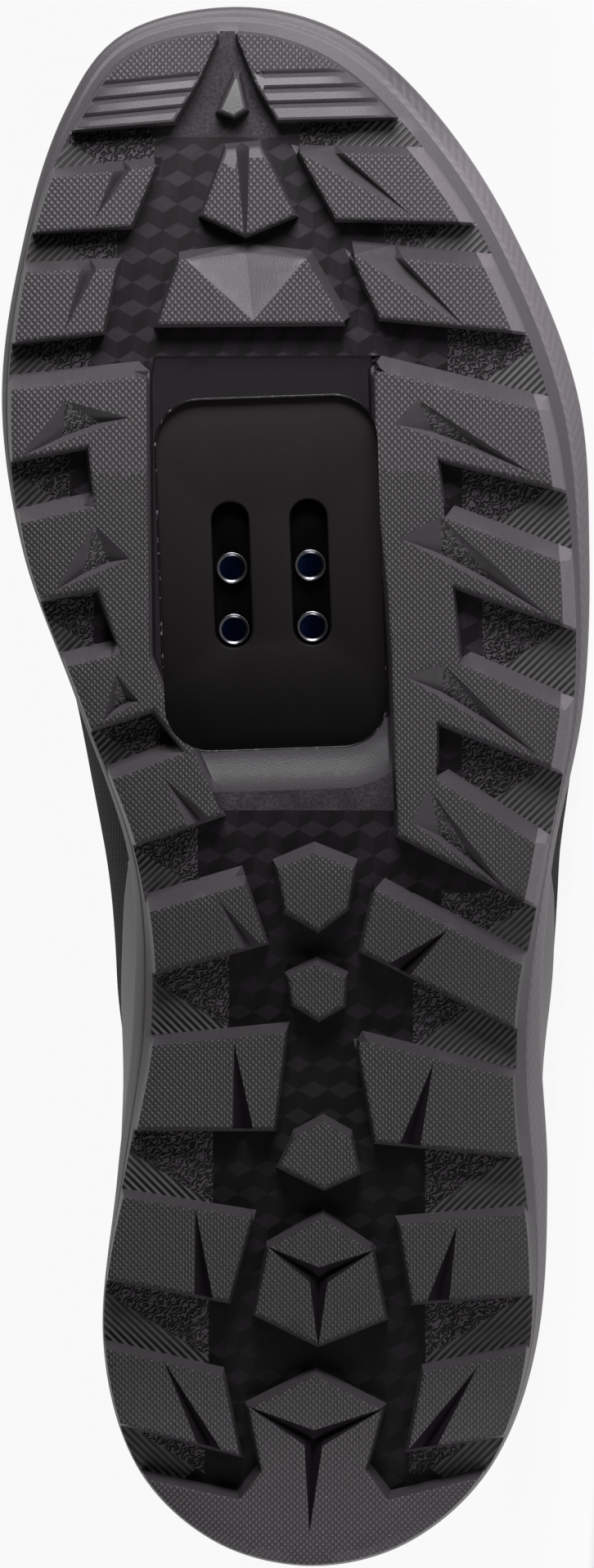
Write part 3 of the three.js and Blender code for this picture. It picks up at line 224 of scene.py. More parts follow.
# The heel block and the toe pads: along, and out from the axis as a share of the ball width
HEEL_BLOCK = (
    (0.123, 0.003), (0.101, 0.119), (0.063, 0.09), (0.044, 0.129), (0.068, 0.4), (-0.02, 0.4),
    (-0.02, -0.4), (0.066, -0.4), (0.044, -0.127), (0.062, -0.089), (0.102, -0.111),
)
TOE_PADS = (
    ((0.914, -0.6), (0.925, -0.242), (0.951, -0.2), (0.978, -0.168), (1.03, -0.17), (1.03, -0.6)),
    ((0.929, 0.25), (1.03, 0.25), (1.03, -0.13), (0.978, -0.13), (0.95, -0.1), (0.926, -0.062)),
)

# V-grooves in the lugs: mouth, tip, then the medial and the lateral width in millimetres
GROOVES = (
    ((0.899, -0.655), (0.862, -0.74), 1.6, 1), ((0.836, -0.735), (0.79, -0.81), 1.6, 1),
    ((0.91, -0.01), (0.835, -0.06), 0.9, 1.5), ((0.84, -0.06), (0.797, -0.06), 11, 10.5),
    ((0.908, 0.52), (0.864, 0.74), 4.6, 1), ((0.842, 0.6), (0.79, 0.79), 4.6, 1),
    ((0.477, -0.65), (0.506, -0.77), 2.4, 1.4), ((0.397, -0.47), (0.428, -0.64), 2.2, 1.4),
    ((0.279, -0.44), (0.336, -0.55), 1.8, 1.8), ((0.384, 0.34), (0.408, 0.57), 2, 2),
    ((0.27, 0.44), (0.323, 0.56), 1.8, 1.8), ((0.173, -0.53), (0.23, -0.63), 1.9, 1.3),
    ((0.076, -0.56), (0.133, -0.73), 1.9, 1.3), ((0.169, 0.57), (0.219, 0.66), 1.9, 1.9),
    ((0.076, 0.6), (0.129, 0.78), 1.9, 1.9),
)

# Y-grooves: a centre and the tips of three arms
Y_GROOVES = (
    ((0.186, 0), ((0.206, -0.26), (0.204, 0.27), (0.14, 0.01))),
    ((0.082, 0), ((0.104, -0.34), (0.103, 0.36), (0.022, -0.02))),
)

# Three-cornered pits in the rails: front, inner and outer corner, flush with the top
PITS = (
    ((0.746, -0.8), (0.735, -0.56), (0.71, -0.97)), ((0.667, -0.73), (0.645, -0.62), (0.624, -0.94)),
    ((0.571, -0.82), (0.554, -0.76), (0.541, -0.94)), ((0.747, 0.52), (0.731, 0.42), (0.699, 0.9)),
    ((0.672, 0.54), (0.658, 0.38), (0.607, 0.92)), ((0.578, 0.49), (0.57, 0.33), (0.519, 0.89)),
    ((0.498, 0.42), (0.477, 0.34), (0.431, 0.86)),
)

# Gaps in the tread's floor: side, rear and front end, then how far out the ribs and the wrinkles
# start, as shares of the ball width. Nearer the middle the floor is smooth or carries cubes.
FLOOR_GAPS = (
    (-1, 0.884, 0.926, -0.394, -0.275), (-1, 0.826, 0.859, -0.415, -0.34),
    (-1, 0.75, 0.79, -0.458, -0.385), (-1, 0.662, 0.717, -0.472, -0.422),
    (-1, 0.571, 0.626, -0.422, -0.38), (-1, 0.497, 0.547, -0.316, -0.266),
    (-1, 0.414, 0.479, -0.25, -0.2), (-1, 0.332, 0.4, -0.238, -0.146),
    (-1, 0.224, 0.281, -0.259, -0.174), (-1, 0.123, 0.189, -0.273, -0.181),
    (-1, 0.06, 0.1, -0.273, -0.188),
    (1, 0.903, 0.93, 0.06, -0.023), (1, 0.83, 0.862, 0.183, 0.12), (1, 0.732, 0.796, 0.317, 0.233),
    (1, 0.636, 0.709, 0.336, 0.258), (1, 0.542, 0.628, 0.364, 0.293), (1, 0.453, 0.541, 0.336, 0.258),
    (1, 0.377, 0.435, 0.293, 0.222), (1, 0.309, 0.395, 0.251, 0.173), (1, 0.22, 0.273, 0.272, 0.194),
    (1, 0.125, 0.177, 0.265, 0.194), (1, 0.06, 0.09, 0.25, 0.166),
)
GAP_SLANT = 1.6

# Rows up the sole's side, a bevel, a thin groove and the side band: inwards as a share of the
# tread's inset and in millimetres more, then up as a share of the way to the footbed and more
SIDE_ROWS = (
    (0.55, 0, 0.2, 0), (0.55, 0.5, 0.2, 0.45), (0.47, 0, 0.2, 0.8), (0.3, 0, 0.4, 0), (0, 0, 0.8, 0),
)

# Rounded grooves across the toe pads: rear end and outer end, then shifted forwards by a pitch
TOE_RIBS = (((0.914, -0.5), (0.925, -0.2)), ((0.926, -0.085), (0.929, 0.2)))
TOE_RIB_PITCH = 2.75
TOE_RIB_COUNT = 3
TOE_RIB_HALF_WIDTH = 0.75
TOE_RIB_DEPTH = 0.75

# Soft creases over the vamp: along, lean, depth in millimetres and width as a share of the length
CREASES = ((0.7, 0.03, 0.9, 0.009), (0.735, 0.045, 0.7, 0.008), (0.765, 0.02, 0.4, 0.007))

# How far the toe cap and the heel counter rise towards the ridge
TOE_CAP = ((0.79, 0.14), (0.84, 0.36), (0.9, 0.58), (0.96, 0.7), (1, 0.73))
HEEL_COUNTER = (
    (0, 0.38), (0.07, 0.35), (0.16, 0.22), (0.25, 0.16), (0.34, 0.15), (0.41, 0.12), (0.45, 0.07),
)

# The tongue: along, and thickness and width as shares of its largest
TONGUE = (
    (0.365, 0.6, 0.55), (0.375, 0.9, 0.8), (0.4, 1, 0.95), (0.45, 1, 1), (0.51, 0.9, 1),
    (0.58, 0.75, 0.95), (0.64, 0.5, 0.88), (0.7, 0.3, 0.75),
)


def linear(code):
    """Turns an sRGB hex colour such as "3a383a" into Blender's linear red, green and blue."""
    shares = [int(code[i:i + 2], 16) / 255 for i in (0, 2, 4)]
    return tuple(s / 12.92 if s <= 0.04045 else ((s + 0.055) / 1.055) ** 2.4 for s in shares)


def size_property(name, description, millimetres):
    return FloatProperty(
        name=name, description=description, default=millimetres / 1000, min=0, unit="LENGTH", precision=5)


def colour_property(name, description, code):
    return FloatVectorProperty(
        name=name, description=description, default=linear(code), subtype="COLOR", size=3, min=0, max=1)


class ShoeSizes(bpy.types.PropertyGroup):
    lug_depth: size_property("Lug depth", "Height of the lugs over the tread's floor", LUG_DEPTH)
    groove_depth: size_property("Groove depth", "Depth of a V-groove at its mouth", 3.2)
    pit_depth: size_property("Pit depth", "Depth of the three-cornered pits in the rails", 1.9)
    edge_round: size_property("Edge rounding", "Width of the rounding along a lug's top edges", 0.4)
    upper_wall: size_property("Upper wall", "Thickness of the mesh and its lining", 2.4)
    overlay: size_property("Overlay thickness", "Thickness of the bonded film panels", 1.2)
    lace_diameter: size_property("Lace diameter", "Diameter of the round lace", 3.4)
    collar_padding: size_property("Collar padding", "Thickness of the foam roll inside the collar", 6)


class ShoeColours(bpy.types.PropertyGroup):
    rubber: colour_property("Rubber", "Moulded rubber of the lugs", "363336")
    # The channel rubber is the lugs' rubber darkened as painted shade in the recessed floor
    channel: colour_property("Channel rubber", "The same rubber in the tread's floor", "131013")
    plate: colour_property("Cleat plate", "Glass-filled nylon of the cleat plate", "0c0a0b")
    steel: colour_property("Steel", "Dark plated steel of the cleat nuts", "4a4a4e")
    # The cloth's blue, made brighter as painted light so that it shows in the nuts' dark bores
    insole: colour_property("Insole", "Cloth on the insole", "2a62c4")
    mesh: colour_property("Upper mesh", "Coarse mesh of the upper", "141215")
    film: colour_property("Film", "Bonded film panels", "3c393c")
    lining: colour_property("Lining", "Knitted lining and tongue", "2a292c")
    lace: colour_property("Lace", "Woven lace", "232325")
    floor: colour_property("Floor", "The pale floor", "fbfafb")


def colour(name, share=1):
    """One of the colours, or a darker or paler share of it."""
    return [share * part for part in getattr(bpy.context.scene.shoe_colours, name)]


def mm(name):
    """One of the sizes in millimetres."""
    return getattr(bpy.context.scene.shoe_sizes, name) * 1000


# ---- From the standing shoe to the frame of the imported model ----

def standing_to_row():
    """The matrix from standing millimetres to the row's metres, found from the record's mounts."""
    mounts = {mount["name"]: mount for mount in frame["record"]["mounts"]}
    cleat, heel = (Vector(mounts[name]["pos_m"]) for name in ("cleat_face", "heel_tread"))
    up = -Vector(mounts["cleat_face"]["axis"]).normalized()
    standing_cleat = Vector((CLEAT_ALONG * SOLE_LENGTH, CLEAT_ACROSS * BALL_WIDTH, PLATE_RECESS))
    standing = standing_cleat - Vector(HEEL_SPOT)
    level = cleat - heel
    level = (level - up * level.dot(up)).normalized()
    angle = math.atan2(standing.y, standing.x)
    toe = level * math.cos(angle) - up.cross(level) * math.sin(angle)
    turn_matrix = Matrix((toe, up.cross(toe), up)).transposed()
    place = heel - turn_matrix @ (Vector(HEEL_SPOT) / 1000)
    return Matrix.Translation(place) @ turn_matrix.to_4x4() @ Matrix.Scale(0.001, 4)


TO_ROW = standing_to_row()


def lie(points):
    """Standing points in millimetres, in the row's frame in metres."""
    matrix = np.array(TO_ROW)
    return np.asarray(points, float) @ matrix[:3, :3].T + matrix[:3, 3]


# ---- Reading the tables ----

def turn(along):
    """The place on the loop, from 0 at the heel to 1 at the toe, of a share of the length."""
    return np.arccos(1 - 2 * np.clip(along, 0, 1)) / np.pi


def follow(rows, column, along):
    """A smooth curve through a table's rows, eased at heel and toe where the outlines turn."""
    places = turn(np.array([row[0] for row in rows], float))
    values = np.array([row[column] for row in rows], float)
    at = turn(np.asarray(along, float))
    i = np.clip(np.searchsorted(places, at) - 1, 0, len(rows) - 2)
    last = len(rows) - 1

    def slope(j):
        ahead, behind = np.minimum(j + 1, last), np.maximum(j - 1, 0)
        return (values[ahead] - values[behind]) / (places[ahead] - places[behind])

    span = places[i + 1] - places[i]
    t = (at - places[i]) / span
    h = t * t * (3 - 2 * t)
    bend = span * (t * (1 - t) ** 2 * slope(i) - t * t * (1 - t) * slope(i + 1))
    return values[i] * (1 - h) + values[i + 1] * h + bend


def between(rows, column, along):
    """A table's column read along straight lines between its rows."""
    return np.interp(along, [row[0] for row in rows], [row[column] for row in rows])


def spread_between(table, medial, lateral, side, along):
    """A table's medial or lateral column, by the side."""
    return np.where(side > 0, follow(table, lateral, along), follow(table, medial, along))


# ---- The outline loop: 0 at the heel, 1 at the toe along the lateral side, 2 at the heel again ----

def unloop(loop):
    """The side and the share of the way from heel to toe that a place on the loop has."""
    wrapped = np.asarray(loop, float) % 2
    side = np.where(wrapped <= 1, 1, -1)
    return side, np.where(wrapped <= 1, wrapped, 2 - wrapped)


def along_of(loop):
    """The share of the length at a place on the loop."""
    return (1 - np.cos(np.pi * unloop(loop)[1])) / 2


def rim_point(loop):
    """Plan points on the sole's widest line."""
    side, _ = unloop(loop)
    along = along_of(loop)
    out = side * BALL_WIDTH * spread_between(RIM, 1, 2, side, along)
    return np.stack([along * SOLE_LENGTH, out], -1)


def inset_point(loop, inset):
    """Plan points a distance inside the rim."""
    step = 0.004
    loop = np.asarray(loop, float)
    tangent = rim_point(loop + step) - rim_point(loop - step)
    tangent /= np.linalg.norm(tangent, axis=-1, keepdims=True)
    normal = np.stack([-tangent[..., 1], tangent[..., 0]], -1)
    return rim_point(loop) - normal * np.asarray(inset)[..., None]


def tread_inset(loop):
    """How far inside the rim the tread's edge stands."""
    side, _ = unloop(loop)
    return SIDE_FLARE * spread_between(TREAD_INSET, 1, 2, side, along_of(loop))


def tread_point(loop, grow=0):
    """Plan points on the tread's edge, or further out."""
    return inset_point(loop, tread_inset(loop) - grow)


def outer_growth(loop):
    """How far the outer wall has widened at its foot."""
    return np.minimum(OUTER_DRAFT, 0.35 * tread_inset(loop))


EDGE_SAMPLES = np.linspace(0, 1, 161)
LATERAL_EDGE = tread_point(EDGE_SAMPLES)
MEDIAL_EDGE = tread_point(2 - EDGE_SAMPLES)


def edges_at(x):
    """The lateral and the medial edge of the tread."""
    lateral = np.interp(x, LATERAL_EDGE[:, 0], LATERAL_EDGE[:, 1])
    return lateral, np.interp(x, MEDIAL_EDGE[:, 0], MEDIAL_EDGE[:, 1])


def across_share(x, y):
    """The share across the tread, from -1 at its medial edge to 1 at its lateral one."""
    lateral, medial = edges_at(x)
    return (2 * y - lateral - medial) / np.maximum(lateral - medial, 8)


def spot(place):
    """A plan point from its share along and its share across the tread."""
    x = place[0] * SOLE_LENGTH
    lateral, medial = edges_at(x)
    return np.array([x, (lateral + medial) / 2 + place[1] * (lateral - medial) / 2])


def axis_spot(place):
    """A plan point from its share along and its distance from the axis in ball widths."""
    return np.array([place[0] * SOLE_LENGTH, place[1] * BALL_WIDTH])


def ground_height(x, y):
    """The underside of the lugs: flat at ball and heel, raised at toe, arch, heel edge and rim."""
    heel = HEEL_BEVEL * np.maximum(0, 1 - x / HEEL_BEVEL_LENGTH) ** 2
    toe_start = FOREFOOT * SOLE_LENGTH
    toe = TOE_SPRING * np.maximum(0, (x - toe_start) / (SOLE_LENGTH - toe_start)) ** TOE_SPRING_CURVE
    arch = ARCH_LIFT * np.sin(np.pi * np.clip((x / SOLE_LENGTH - ARCH_REAR) / ARCH_SPAN, 0, 1)) ** 2
    at_edge = np.clip((np.abs(across_share(x, y)) - 0.6) / 0.4, 0, 1)
    at_toe = np.clip((x / SOLE_LENGTH - 0.94) / 0.035, 0, 1)
    roll = EDGE_ROLL * np.maximum(at_edge, at_toe) ** 2
    return heel + toe + arch + roll


def floor_height(x, y):
    """The tread's floor between the lugs."""
    return ground_height(x, y) + mm("lug_depth")


def footbed_height(along):
    return HEEL_STACK * follow(SOLE_HEIGHTS, 1, along)


def lip_height(along):
    return TOE_LIP_HEIGHT * follow(SOLE_HEIGHTS, 2, along)


# ---- The last: loop runs round the featherline, rise from 0 there to 1 at the ridge ----

def section_at(loop):
    """The last's cross-section at a place on the loop."""
    side, _ = unloop(loop)
    along = along_of(loop)
    waist = 2 * along - 1
    ridge_along = 0.5 + 0.5 * (waist - 0.3 * waist ** 3)
    ridge = np.stack([ridge_along * SOLE_LENGTH, BALL_WIDTH * follow(LAST, SHIFT, ridge_along)], -1)
    return {
        "base": inset_point(loop, FEATHER_INSET),
        "ridge": ridge,
        "foot": footbed_height(along),
        "top": footbed_height(ridge_along) + INSTEP_RISE * follow(LAST, RISE, ridge_along),
        "squareness": follow(LAST, SQUARENESS, along),
        "swell": spread_between(LAST, SWELL_MEDIAL, SWELL_LATERAL, side, along),
        "taper": follow(LAST, TAPER, along),
    }


def raised(plan, height):
    """Plan points at a height, which is one number or one for each point."""
    height = np.broadcast_to(np.asarray(height, float)[..., None], plan.shape[:-1] + (1,))
    return np.concatenate([plan, height], -1)


def last_point(loop, rise):
    """Points on the last."""
    loop, rise = np.broadcast_arrays(np.asarray(loop, float), np.asarray(rise, float))
    s = section_at(loop)
    angle = np.clip(rise, 0, 1) * np.pi / 2
    cosine, sine = np.maximum(np.cos(angle), 0), np.sin(angle)
    reach = (cosine ** s["squareness"] + sine ** s["squareness"]) ** (-1 / s["squareness"])
    up = sine * reach
    out = cosine * reach * (1 + s["swell"] * np.sin(2 * angle)) * (1 - s["taper"] * up)
    out = np.where(rise >= 1, 0, out)[..., None]
    plan = s["ridge"] * (1 - out) + s["base"] * out
    return raised(plan, s["foot"] + (s["top"] - s["foot"]) * up)


def unit(vectors):
    return vectors / np.maximum(np.linalg.norm(vectors, axis=-1, keepdims=True), 1e-9)


def slope_normal(loop, rise):
    """The outward normal from the slopes along and up the last."""
    step = 0.01
    along = last_point(loop + step, rise) - last_point(loop - step, rise)
    up = last_point(loop, rise + step) - last_point(loop, np.maximum(rise - step, 0))
    return unit(np.cross(up, along))


def last_normal(loop, rise):
    """The outward normal, the same from both sides near the ridge."""
    near_ridge = 0.97
    loop, rise = np.broadcast_arrays(np.asarray(loop, float), np.asarray(rise, float))
    low = np.minimum(rise, near_ridge)
    normal = slope_normal(loop, low)
    both = unit(normal + slope_normal(2 - loop, low))
    return np.where((rise > near_ridge)[..., None], both, normal)


def shell_point(loop, rise, offset):
    """Points a distance out from the last."""
    return last_point(loop, rise) + last_normal(loop, rise) * np.asarray(offset, float)[..., None]


def rise_at_height(loop, height):
    """The rise at which the last stands a given height over the footbed."""
    s = section_at(loop)
    up = np.minimum(height / (s["top"] - s["foot"]), 0.999)
    return np.arctan2(up, (1 - up ** s["squareness"]) ** (1 / s["squareness"])) / (np.pi / 2)


def rise_at_width(loop, width):
    """The rise at which the last stands a given width from its ridge, seen from above."""
    ridge = section_at(loop)["ridge"]
    low, high = np.full(np.shape(loop), 0.25), np.ones(np.shape(loop))
    for _ in range(24):
        middle = (low + high) / 2
        wide = np.linalg.norm(last_point(loop, middle)[..., :2] - ridge, axis=-1) > width
        low, high = np.where(wide, middle, low), np.where(wide, high, middle)
    return high


def top_point(along, width, offset):
    """A point over the foot by its share along and its distance from the ridge, minus is medial."""
    given = (np.asarray(value, float) for value in (along, width, offset))
    along, width, offset = np.broadcast_arrays(*given)
    loop = np.where(width < 0, 2 - turn(along), turn(along))
    rise = np.where(np.abs(width) < 0.01, 1, rise_at_width(loop, np.abs(width)))
    return shell_point(loop, rise, offset)


def curve_through(points, steps):
    """A smooth curve through points, or through rows of points, in steps from each to the next."""
    padded = [points[0], *points, points[-1]]
    found = []
    for a, b, c, d in zip(padded, padded[1:], padded[2:], padded[3:]):
        for t in np.linspace(0, 1, steps, endpoint=False):
            found.append(0.5 * (2 * b + (c - a) * t + (2 * a - 5 * b + 4 * c - d) * t ** 2
                                + (3 * b - a - 3 * c + d) * t ** 3))
    return found + [points[-1]]


def throat_half(along):
    """Half the throat's width."""
    return THROAT_HALF_WIDTH * between(THROAT, 1, along)


def collar_line():
    """The collar line as x and z, a smooth curve through the table's points."""
    climb = COLLAR_HEIGHT - ANKLE_HEIGHT
    points = [np.array((a * SOLE_LENGTH, ANKLE_HEIGHT + c * climb)) for a, c in COLLAR]
    return np.array(curve_through(points, 12))


# ---- Meshes ----

def make_object(name, points, faces, materials, looks=None, flat=None, sharp=40):
    """A mesh object from standing points. looks gives each face's material, flat each corner's place
    in millimetres on the pattern's map, and edges sharper than an angle stay crisp."""
    mesh = bpy.data.meshes.new(name)
    mesh.from_pydata(lie(points).tolist(), [], [list(map(int, face)) for face in faces])
    for cover in materials:
        mesh.materials.append(cover)
    if looks is not None:
        mesh.polygons.foreach_set("material_index", np.asarray(looks, np.int32))
    layer = mesh.uv_layers.new(name="mm")
    corners = np.zeros(len(mesh.loops), np.int64)
    mesh.loops.foreach_get("vertex_index", corners)
    if flat is None:
        flat = np.asarray(points, float)[:, :2]
    flat = np.asarray(flat, float)
    layer.data.foreach_set("uv", (flat[corners] if len(flat) == len(points) else flat).ravel())
    mesh.shade_smooth()
    mesh.set_sharp_from_angle(angle=math.radians(sharp))
    piece = bpy.data.objects.new(name, mesh)
    bpy.context.scene.collection.objects.link(piece)
    return piece


def place_piece(piece, slot, *nodes):
    """Fixes a piece to the shoe's one body, and hides the nodes it stands for. Its slot is not used."""
    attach(piece, "root")
    if nodes:
        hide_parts(*nodes)


def grid_faces(rows, columns, wrap=False, start=0):
    """Quads between the rows of a grid of points, wrapped round its columns if asked."""
    across = np.arange(columns if wrap else columns - 1)
    ahead = (across + 1) % columns
    quads = []
    for r in range(rows - 1):
        low, high = start + r * columns, start + (r + 1) * columns
        quads.append(np.stack([low + across, low + ahead, high + ahead, high + across], -1))
    return np.concatenate(quads)


def outward(points, faces):
    """The faces, turned over if the closed mesh is inside out."""
    points = np.asarray(points, float)
    volume = 0
    for face in faces:
        a = points[face[0]]
        for b, c in zip(face[1:-1], face[2:]):
            volume += np.dot(a, np.cross(points[b], points[c]))
    return [list(face)[::-1] for face in faces] if volume < 0 else [list(face) for face in faces]


def resample(line, spacing, closed=True):
    """Points about one spacing apart on each stretch of a line, its corners kept."""
    line = np.asarray(line, float)
    ends = np.roll(line, -1, axis=0) if closed else line[1:]
    found = []
    for a, b in zip(line, ends):
        steps = max(1, math.ceil(np.linalg.norm(b - a) / spacing))
        found.extend(a + (b - a) * i / steps for i in range(steps))
    if not closed:
        found.append(line[-1])
    return np.array(found)


def travel(points):
    """How far along a line, or along the columns of a grid, each point lies, in millimetres."""
    steps = np.linalg.norm(np.diff(points, axis=0), axis=-1)
    return np.concatenate([np.zeros_like(steps[:1]), np.cumsum(steps, axis=0)])


def evenly(curve, spacing):
    """Parameters from 0 to 2 that step evenly along a closed curve of the outline loop."""
    fine = np.linspace(0, 2, 4001)
    far = travel(curve(fine))
    return np.interp(np.linspace(0, far[-1], int(far[-1] / spacing), endpoint=False), far, fine)


def inside(points, outline):
    """Which plan points lie inside a closed outline."""
    points, outline = np.asarray(points, float), np.asarray(outline, float)
    found = np.zeros(len(points), bool)
    for a, b in zip(outline, np.roll(outline, -1, axis=0)):
        crosses = (a[1] > points[:, 1]) != (b[1] > points[:, 1])
        if crosses.any():
            at = a[0] + (points[:, 1] - a[1]) / (b[1] - a[1] + 1e-12) * (b[0] - a[0])
            found ^= crosses & (points[:, 0] < at)
    return found


def distance_to(points, outline):
    """How far each plan point lies from a closed outline."""
    nearest = np.full(len(points), np.inf)
    for a, b in zip(outline, np.roll(outline, -1, axis=0)):
        span = b - a
        share = np.clip((points - a) @ span / (span @ span), 0, 1)
        nearest = np.minimum(nearest, np.linalg.norm(points - a - share[:, None] * span, axis=1))
    return nearest


def nearest_on(point, outline):
    """The point of a closed outline nearest to a plan point, and that edge's outward normal."""
    ends = np.roll(outline, -1, axis=0)
    spans = ends - outline
    share = np.clip(((point - outline) * spans).sum(1) / (spans ** 2).sum(1), 0, 1)
    places = outline + share[:, None] * spans
    best = np.argmin(np.linalg.norm(places - point, axis=1))
    return places[best], edge_normals(outline)[best], best


def triangulate(lines, loose=()):
    """Plan triangles that keep every given line; a line is its points and whether it closes."""
    points, edges = [], []
    for line, closed in lines:
        start = len(points)
        points.extend(Vector(p) for p in line)
        count = len(line)
        edges.extend((start + i, start + (i + 1) % count) for i in range(count if closed else count - 1))
    points.extend(Vector(p) for p in loose)
    corners, _, faces, origins, _, _ = delaunay_2d_cdt(points, edges, [], 0, CLOSE, True)
    return np.array([tuple(p) for p in corners]), np.array(faces, int), origins


def cross(a, b):
    """The area spanned by two plan vectors, positive where the second lies to the first's left."""
    return a[..., 0] * b[..., 1] - a[..., 1] * b[..., 0]


def facing_up(corners, faces):
    """Triangles turned counter-clockwise, as seen from above, without empty ones."""
    a, b, c = (corners[faces[:, i]] for i in range(3))
    area = cross(b - a, c - a)
    faces = faces.copy()
    faces[area < 0] = faces[area < 0][:, ::-1]
    return faces[np.abs(area) > 1e-7]


def edge_loops(faces):
    """The closed loops of points round the open edges of a mesh, each in the faces' own direction."""
    sides = np.concatenate([faces[:, [0, 1]], faces[:, [1, 2]], faces[:, [2, 0]]])
    known = {(int(a), int(b)) for a, b in sides}
    ahead = {a: b for a, b in known if (b, a) not in known}
    loops = []
    while ahead:
        first = next(iter(ahead))
        loop, at = [], first
        while at in ahead:
            loop.append(at)
            at = ahead.pop(at)
        loops.append(loop)
    return sorted(loops, key=len, reverse=True)


def counter_clockwise(outline):
    x, y = np.asarray(outline).T
    area = np.dot(x, np.roll(y, -1)) - np.dot(y, np.roll(x, -1))
    return np.asarray(outline)[::-1] if area < 0 else np.asarray(outline)


def edge_normals(outline):
    """The outward normal of each edge, which runs from its point to the next."""
    ahead = unit(np.roll(outline, -1, axis=0) - outline)
    return np.stack([ahead[:, 1], -ahead[:, 0]], -1)


def widened(outline, widths):
    """An outline with each edge moved out by its own width, or all by one, its corners mitred."""
    widths = np.broadcast_to(widths, len(outline))
    normals = edge_normals(outline)
    moved = []
    for i, p in enumerate(outline):
        a, b = normals[i - 1], normals[i]
        wa, wb = widths[i - 1], widths[i]
        bend = cross(a, b)
        if abs(bend) < 0.25:
            moved.append(p + b * (wa + wb) / 2)
            continue
        shift = np.array([(wa * b[1] - wb * a[1]) / bend, (wb * a[0] - wa * b[0]) / bend])
        longest = 2 * max(abs(wa), abs(wb))
        moved.append(p + shift * min(1, longest / max(np.linalg.norm(shift), 1e-9)))
    return np.array(moved)


def rounded_rectangle(length, width, corner, steps=10):
    """A rectangle about the origin, counter-clockwise."""
    points = []
    for quarter, (sx, sy) in enumerate(((1, 1), (-1, 1), (-1, -1), (1, -1))):
        centre = np.array([sx * (length / 2 - corner), sy * (width / 2 - corner)])
        for angle in np.linspace(quarter, quarter + 1, steps) * math.pi / 2:
            points.append(centre + corner * np.array([math.cos(angle), math.sin(angle)]))
    return np.array(points)


def circle(radius, sides):
    angles = np.linspace(0, 2 * math.pi, sides, endpoint=False)
    return radius * np.stack([np.cos(angles), np.sin(angles)], -1)


def at_cleat(outline, ahead=0, out=0):
    """Plan points of the cleat mount, turned by the cleat angle and set at its centre."""
    c, s = math.cos(-CLEAT_ANGLE), math.sin(-CLEAT_ANGLE)
    moved = np.asarray(outline, float) + (ahead, out)
    turned = np.stack([c * moved[:, 0] - s * moved[:, 1], s * moved[:, 0] + c * moved[:, 1]], -1)
    return turned + axis_spot((CLEAT_ALONG, CLEAT_ACROSS))


# ---- The tread: lugs, cuts in them, the cleat pocket and the floor between ----

# Lugs reach past the tread's edge by a share. Their walls slope over these widths in millimetres,
# and the outer ends of the lateral ones fall by a share of their height before they slope.
EDGE_REACH = 1.15
SIDE_WALL = 0.55
END_WALL = 1.8
END_FALL = 0.5
RAIL_WALL = 2.8
PAD_WALL = 1.2
HEEL_WALL = 1.4

# The cleat pocket: its front as shares of the length and of the width, then in millimetres its wall,
# its sides and the ramp behind it
POCKET_FRONT = 0.777
POCKET_FRONT_ENDS = (0.45, -0.47)
POCKET_MARGIN = 0.6
POCKET_WALL = 0.5
POCKET_SIDES = (-30, 25)
POCKET_RAMP = 7.5
RAMP_LINES = (1, 2.5, 4, 5.5, POCKET_RAMP)
RAMP_FOOT = 3.5
POCKET_FLOOR = LUG_DEPTH + POCKET_DEPTH

# Where the rough ground at the toe starts, how wide a groove has facets like a wall's, and how far
# apart points stand on the tread's edge, on lines and over the grid between
TOE_CHANNEL = 0.915
WIDE_GROOVE = 2
ARM_WIDTH = 1.7
EDGE_STEP = 1.7
LINE_STEP = 2
GRID_STEP = 3

# The arrow lug's smooth head, and the facet between the toe pads, in millimetres
ARROW_AXIS = -11
ARROW_HEAD = 252
ARROW_TIP = 256
ARROW_HALF_WIDTH = 7
BETWEEN_PADS = (-20, -10.5)
BETWEEN_PADS_FRONT = 0.96

# The looks of the rubber, in the order of the outsole's materials
(KNURL_FORE, KNURL, WALL, SMOOTH, WRINKLE, PIT, RIBS, RIBS_BACK, CUBES, SIDE, INNER, FACET, GROUND,
 BUMPER, ENDS_PAINTED_LIGHT) = range(15)


def lug_outlines():
    """The top outline of every lug, each with the width of its sloping front wall."""
    lugs = []
    for side, outer_front, front, rear, outer_rear, wall in EDGE_BLOCKS:
        outer = side * EDGE_REACH
        lugs.append(([(outer_front, outer), front, rear, (outer_rear, outer)], spot, wall))
    for side, outer_front, inner, pockets, outer_end in RAILS:
        outer = side * EDGE_REACH
        corners = [(outer_front, outer)]
        for pocket_front, front, rear, in_front, in_rear, pocket_rear in pockets:
            corners += [(pocket_front, outer), (front, in_front), (rear, in_rear), (pocket_rear, outer)]
        lugs.append((corners + [(outer_end, outer)] + list(inner[::-1]), spot, RAIL_WALL))
    lugs += [(corners, spot, wall) for corners, wall in CENTRE_LUGS]
    lugs += [(corners, axis_spot, PAD_WALL) for corners in TOE_PADS]
    lugs.append((HEEL_BLOCK, axis_spot, HEEL_WALL))
    return [(counter_clockwise([place(c) for c in corners]), wall) for corners, place, wall in lugs]


def wall_widths(outline, front_wall):
    """Each edge's wall: wide and sloping where it faces the toe, steep elsewhere."""
    return np.where(edge_normals(outline)[:, 0] > 0.45, front_wall, SIDE_WALL)


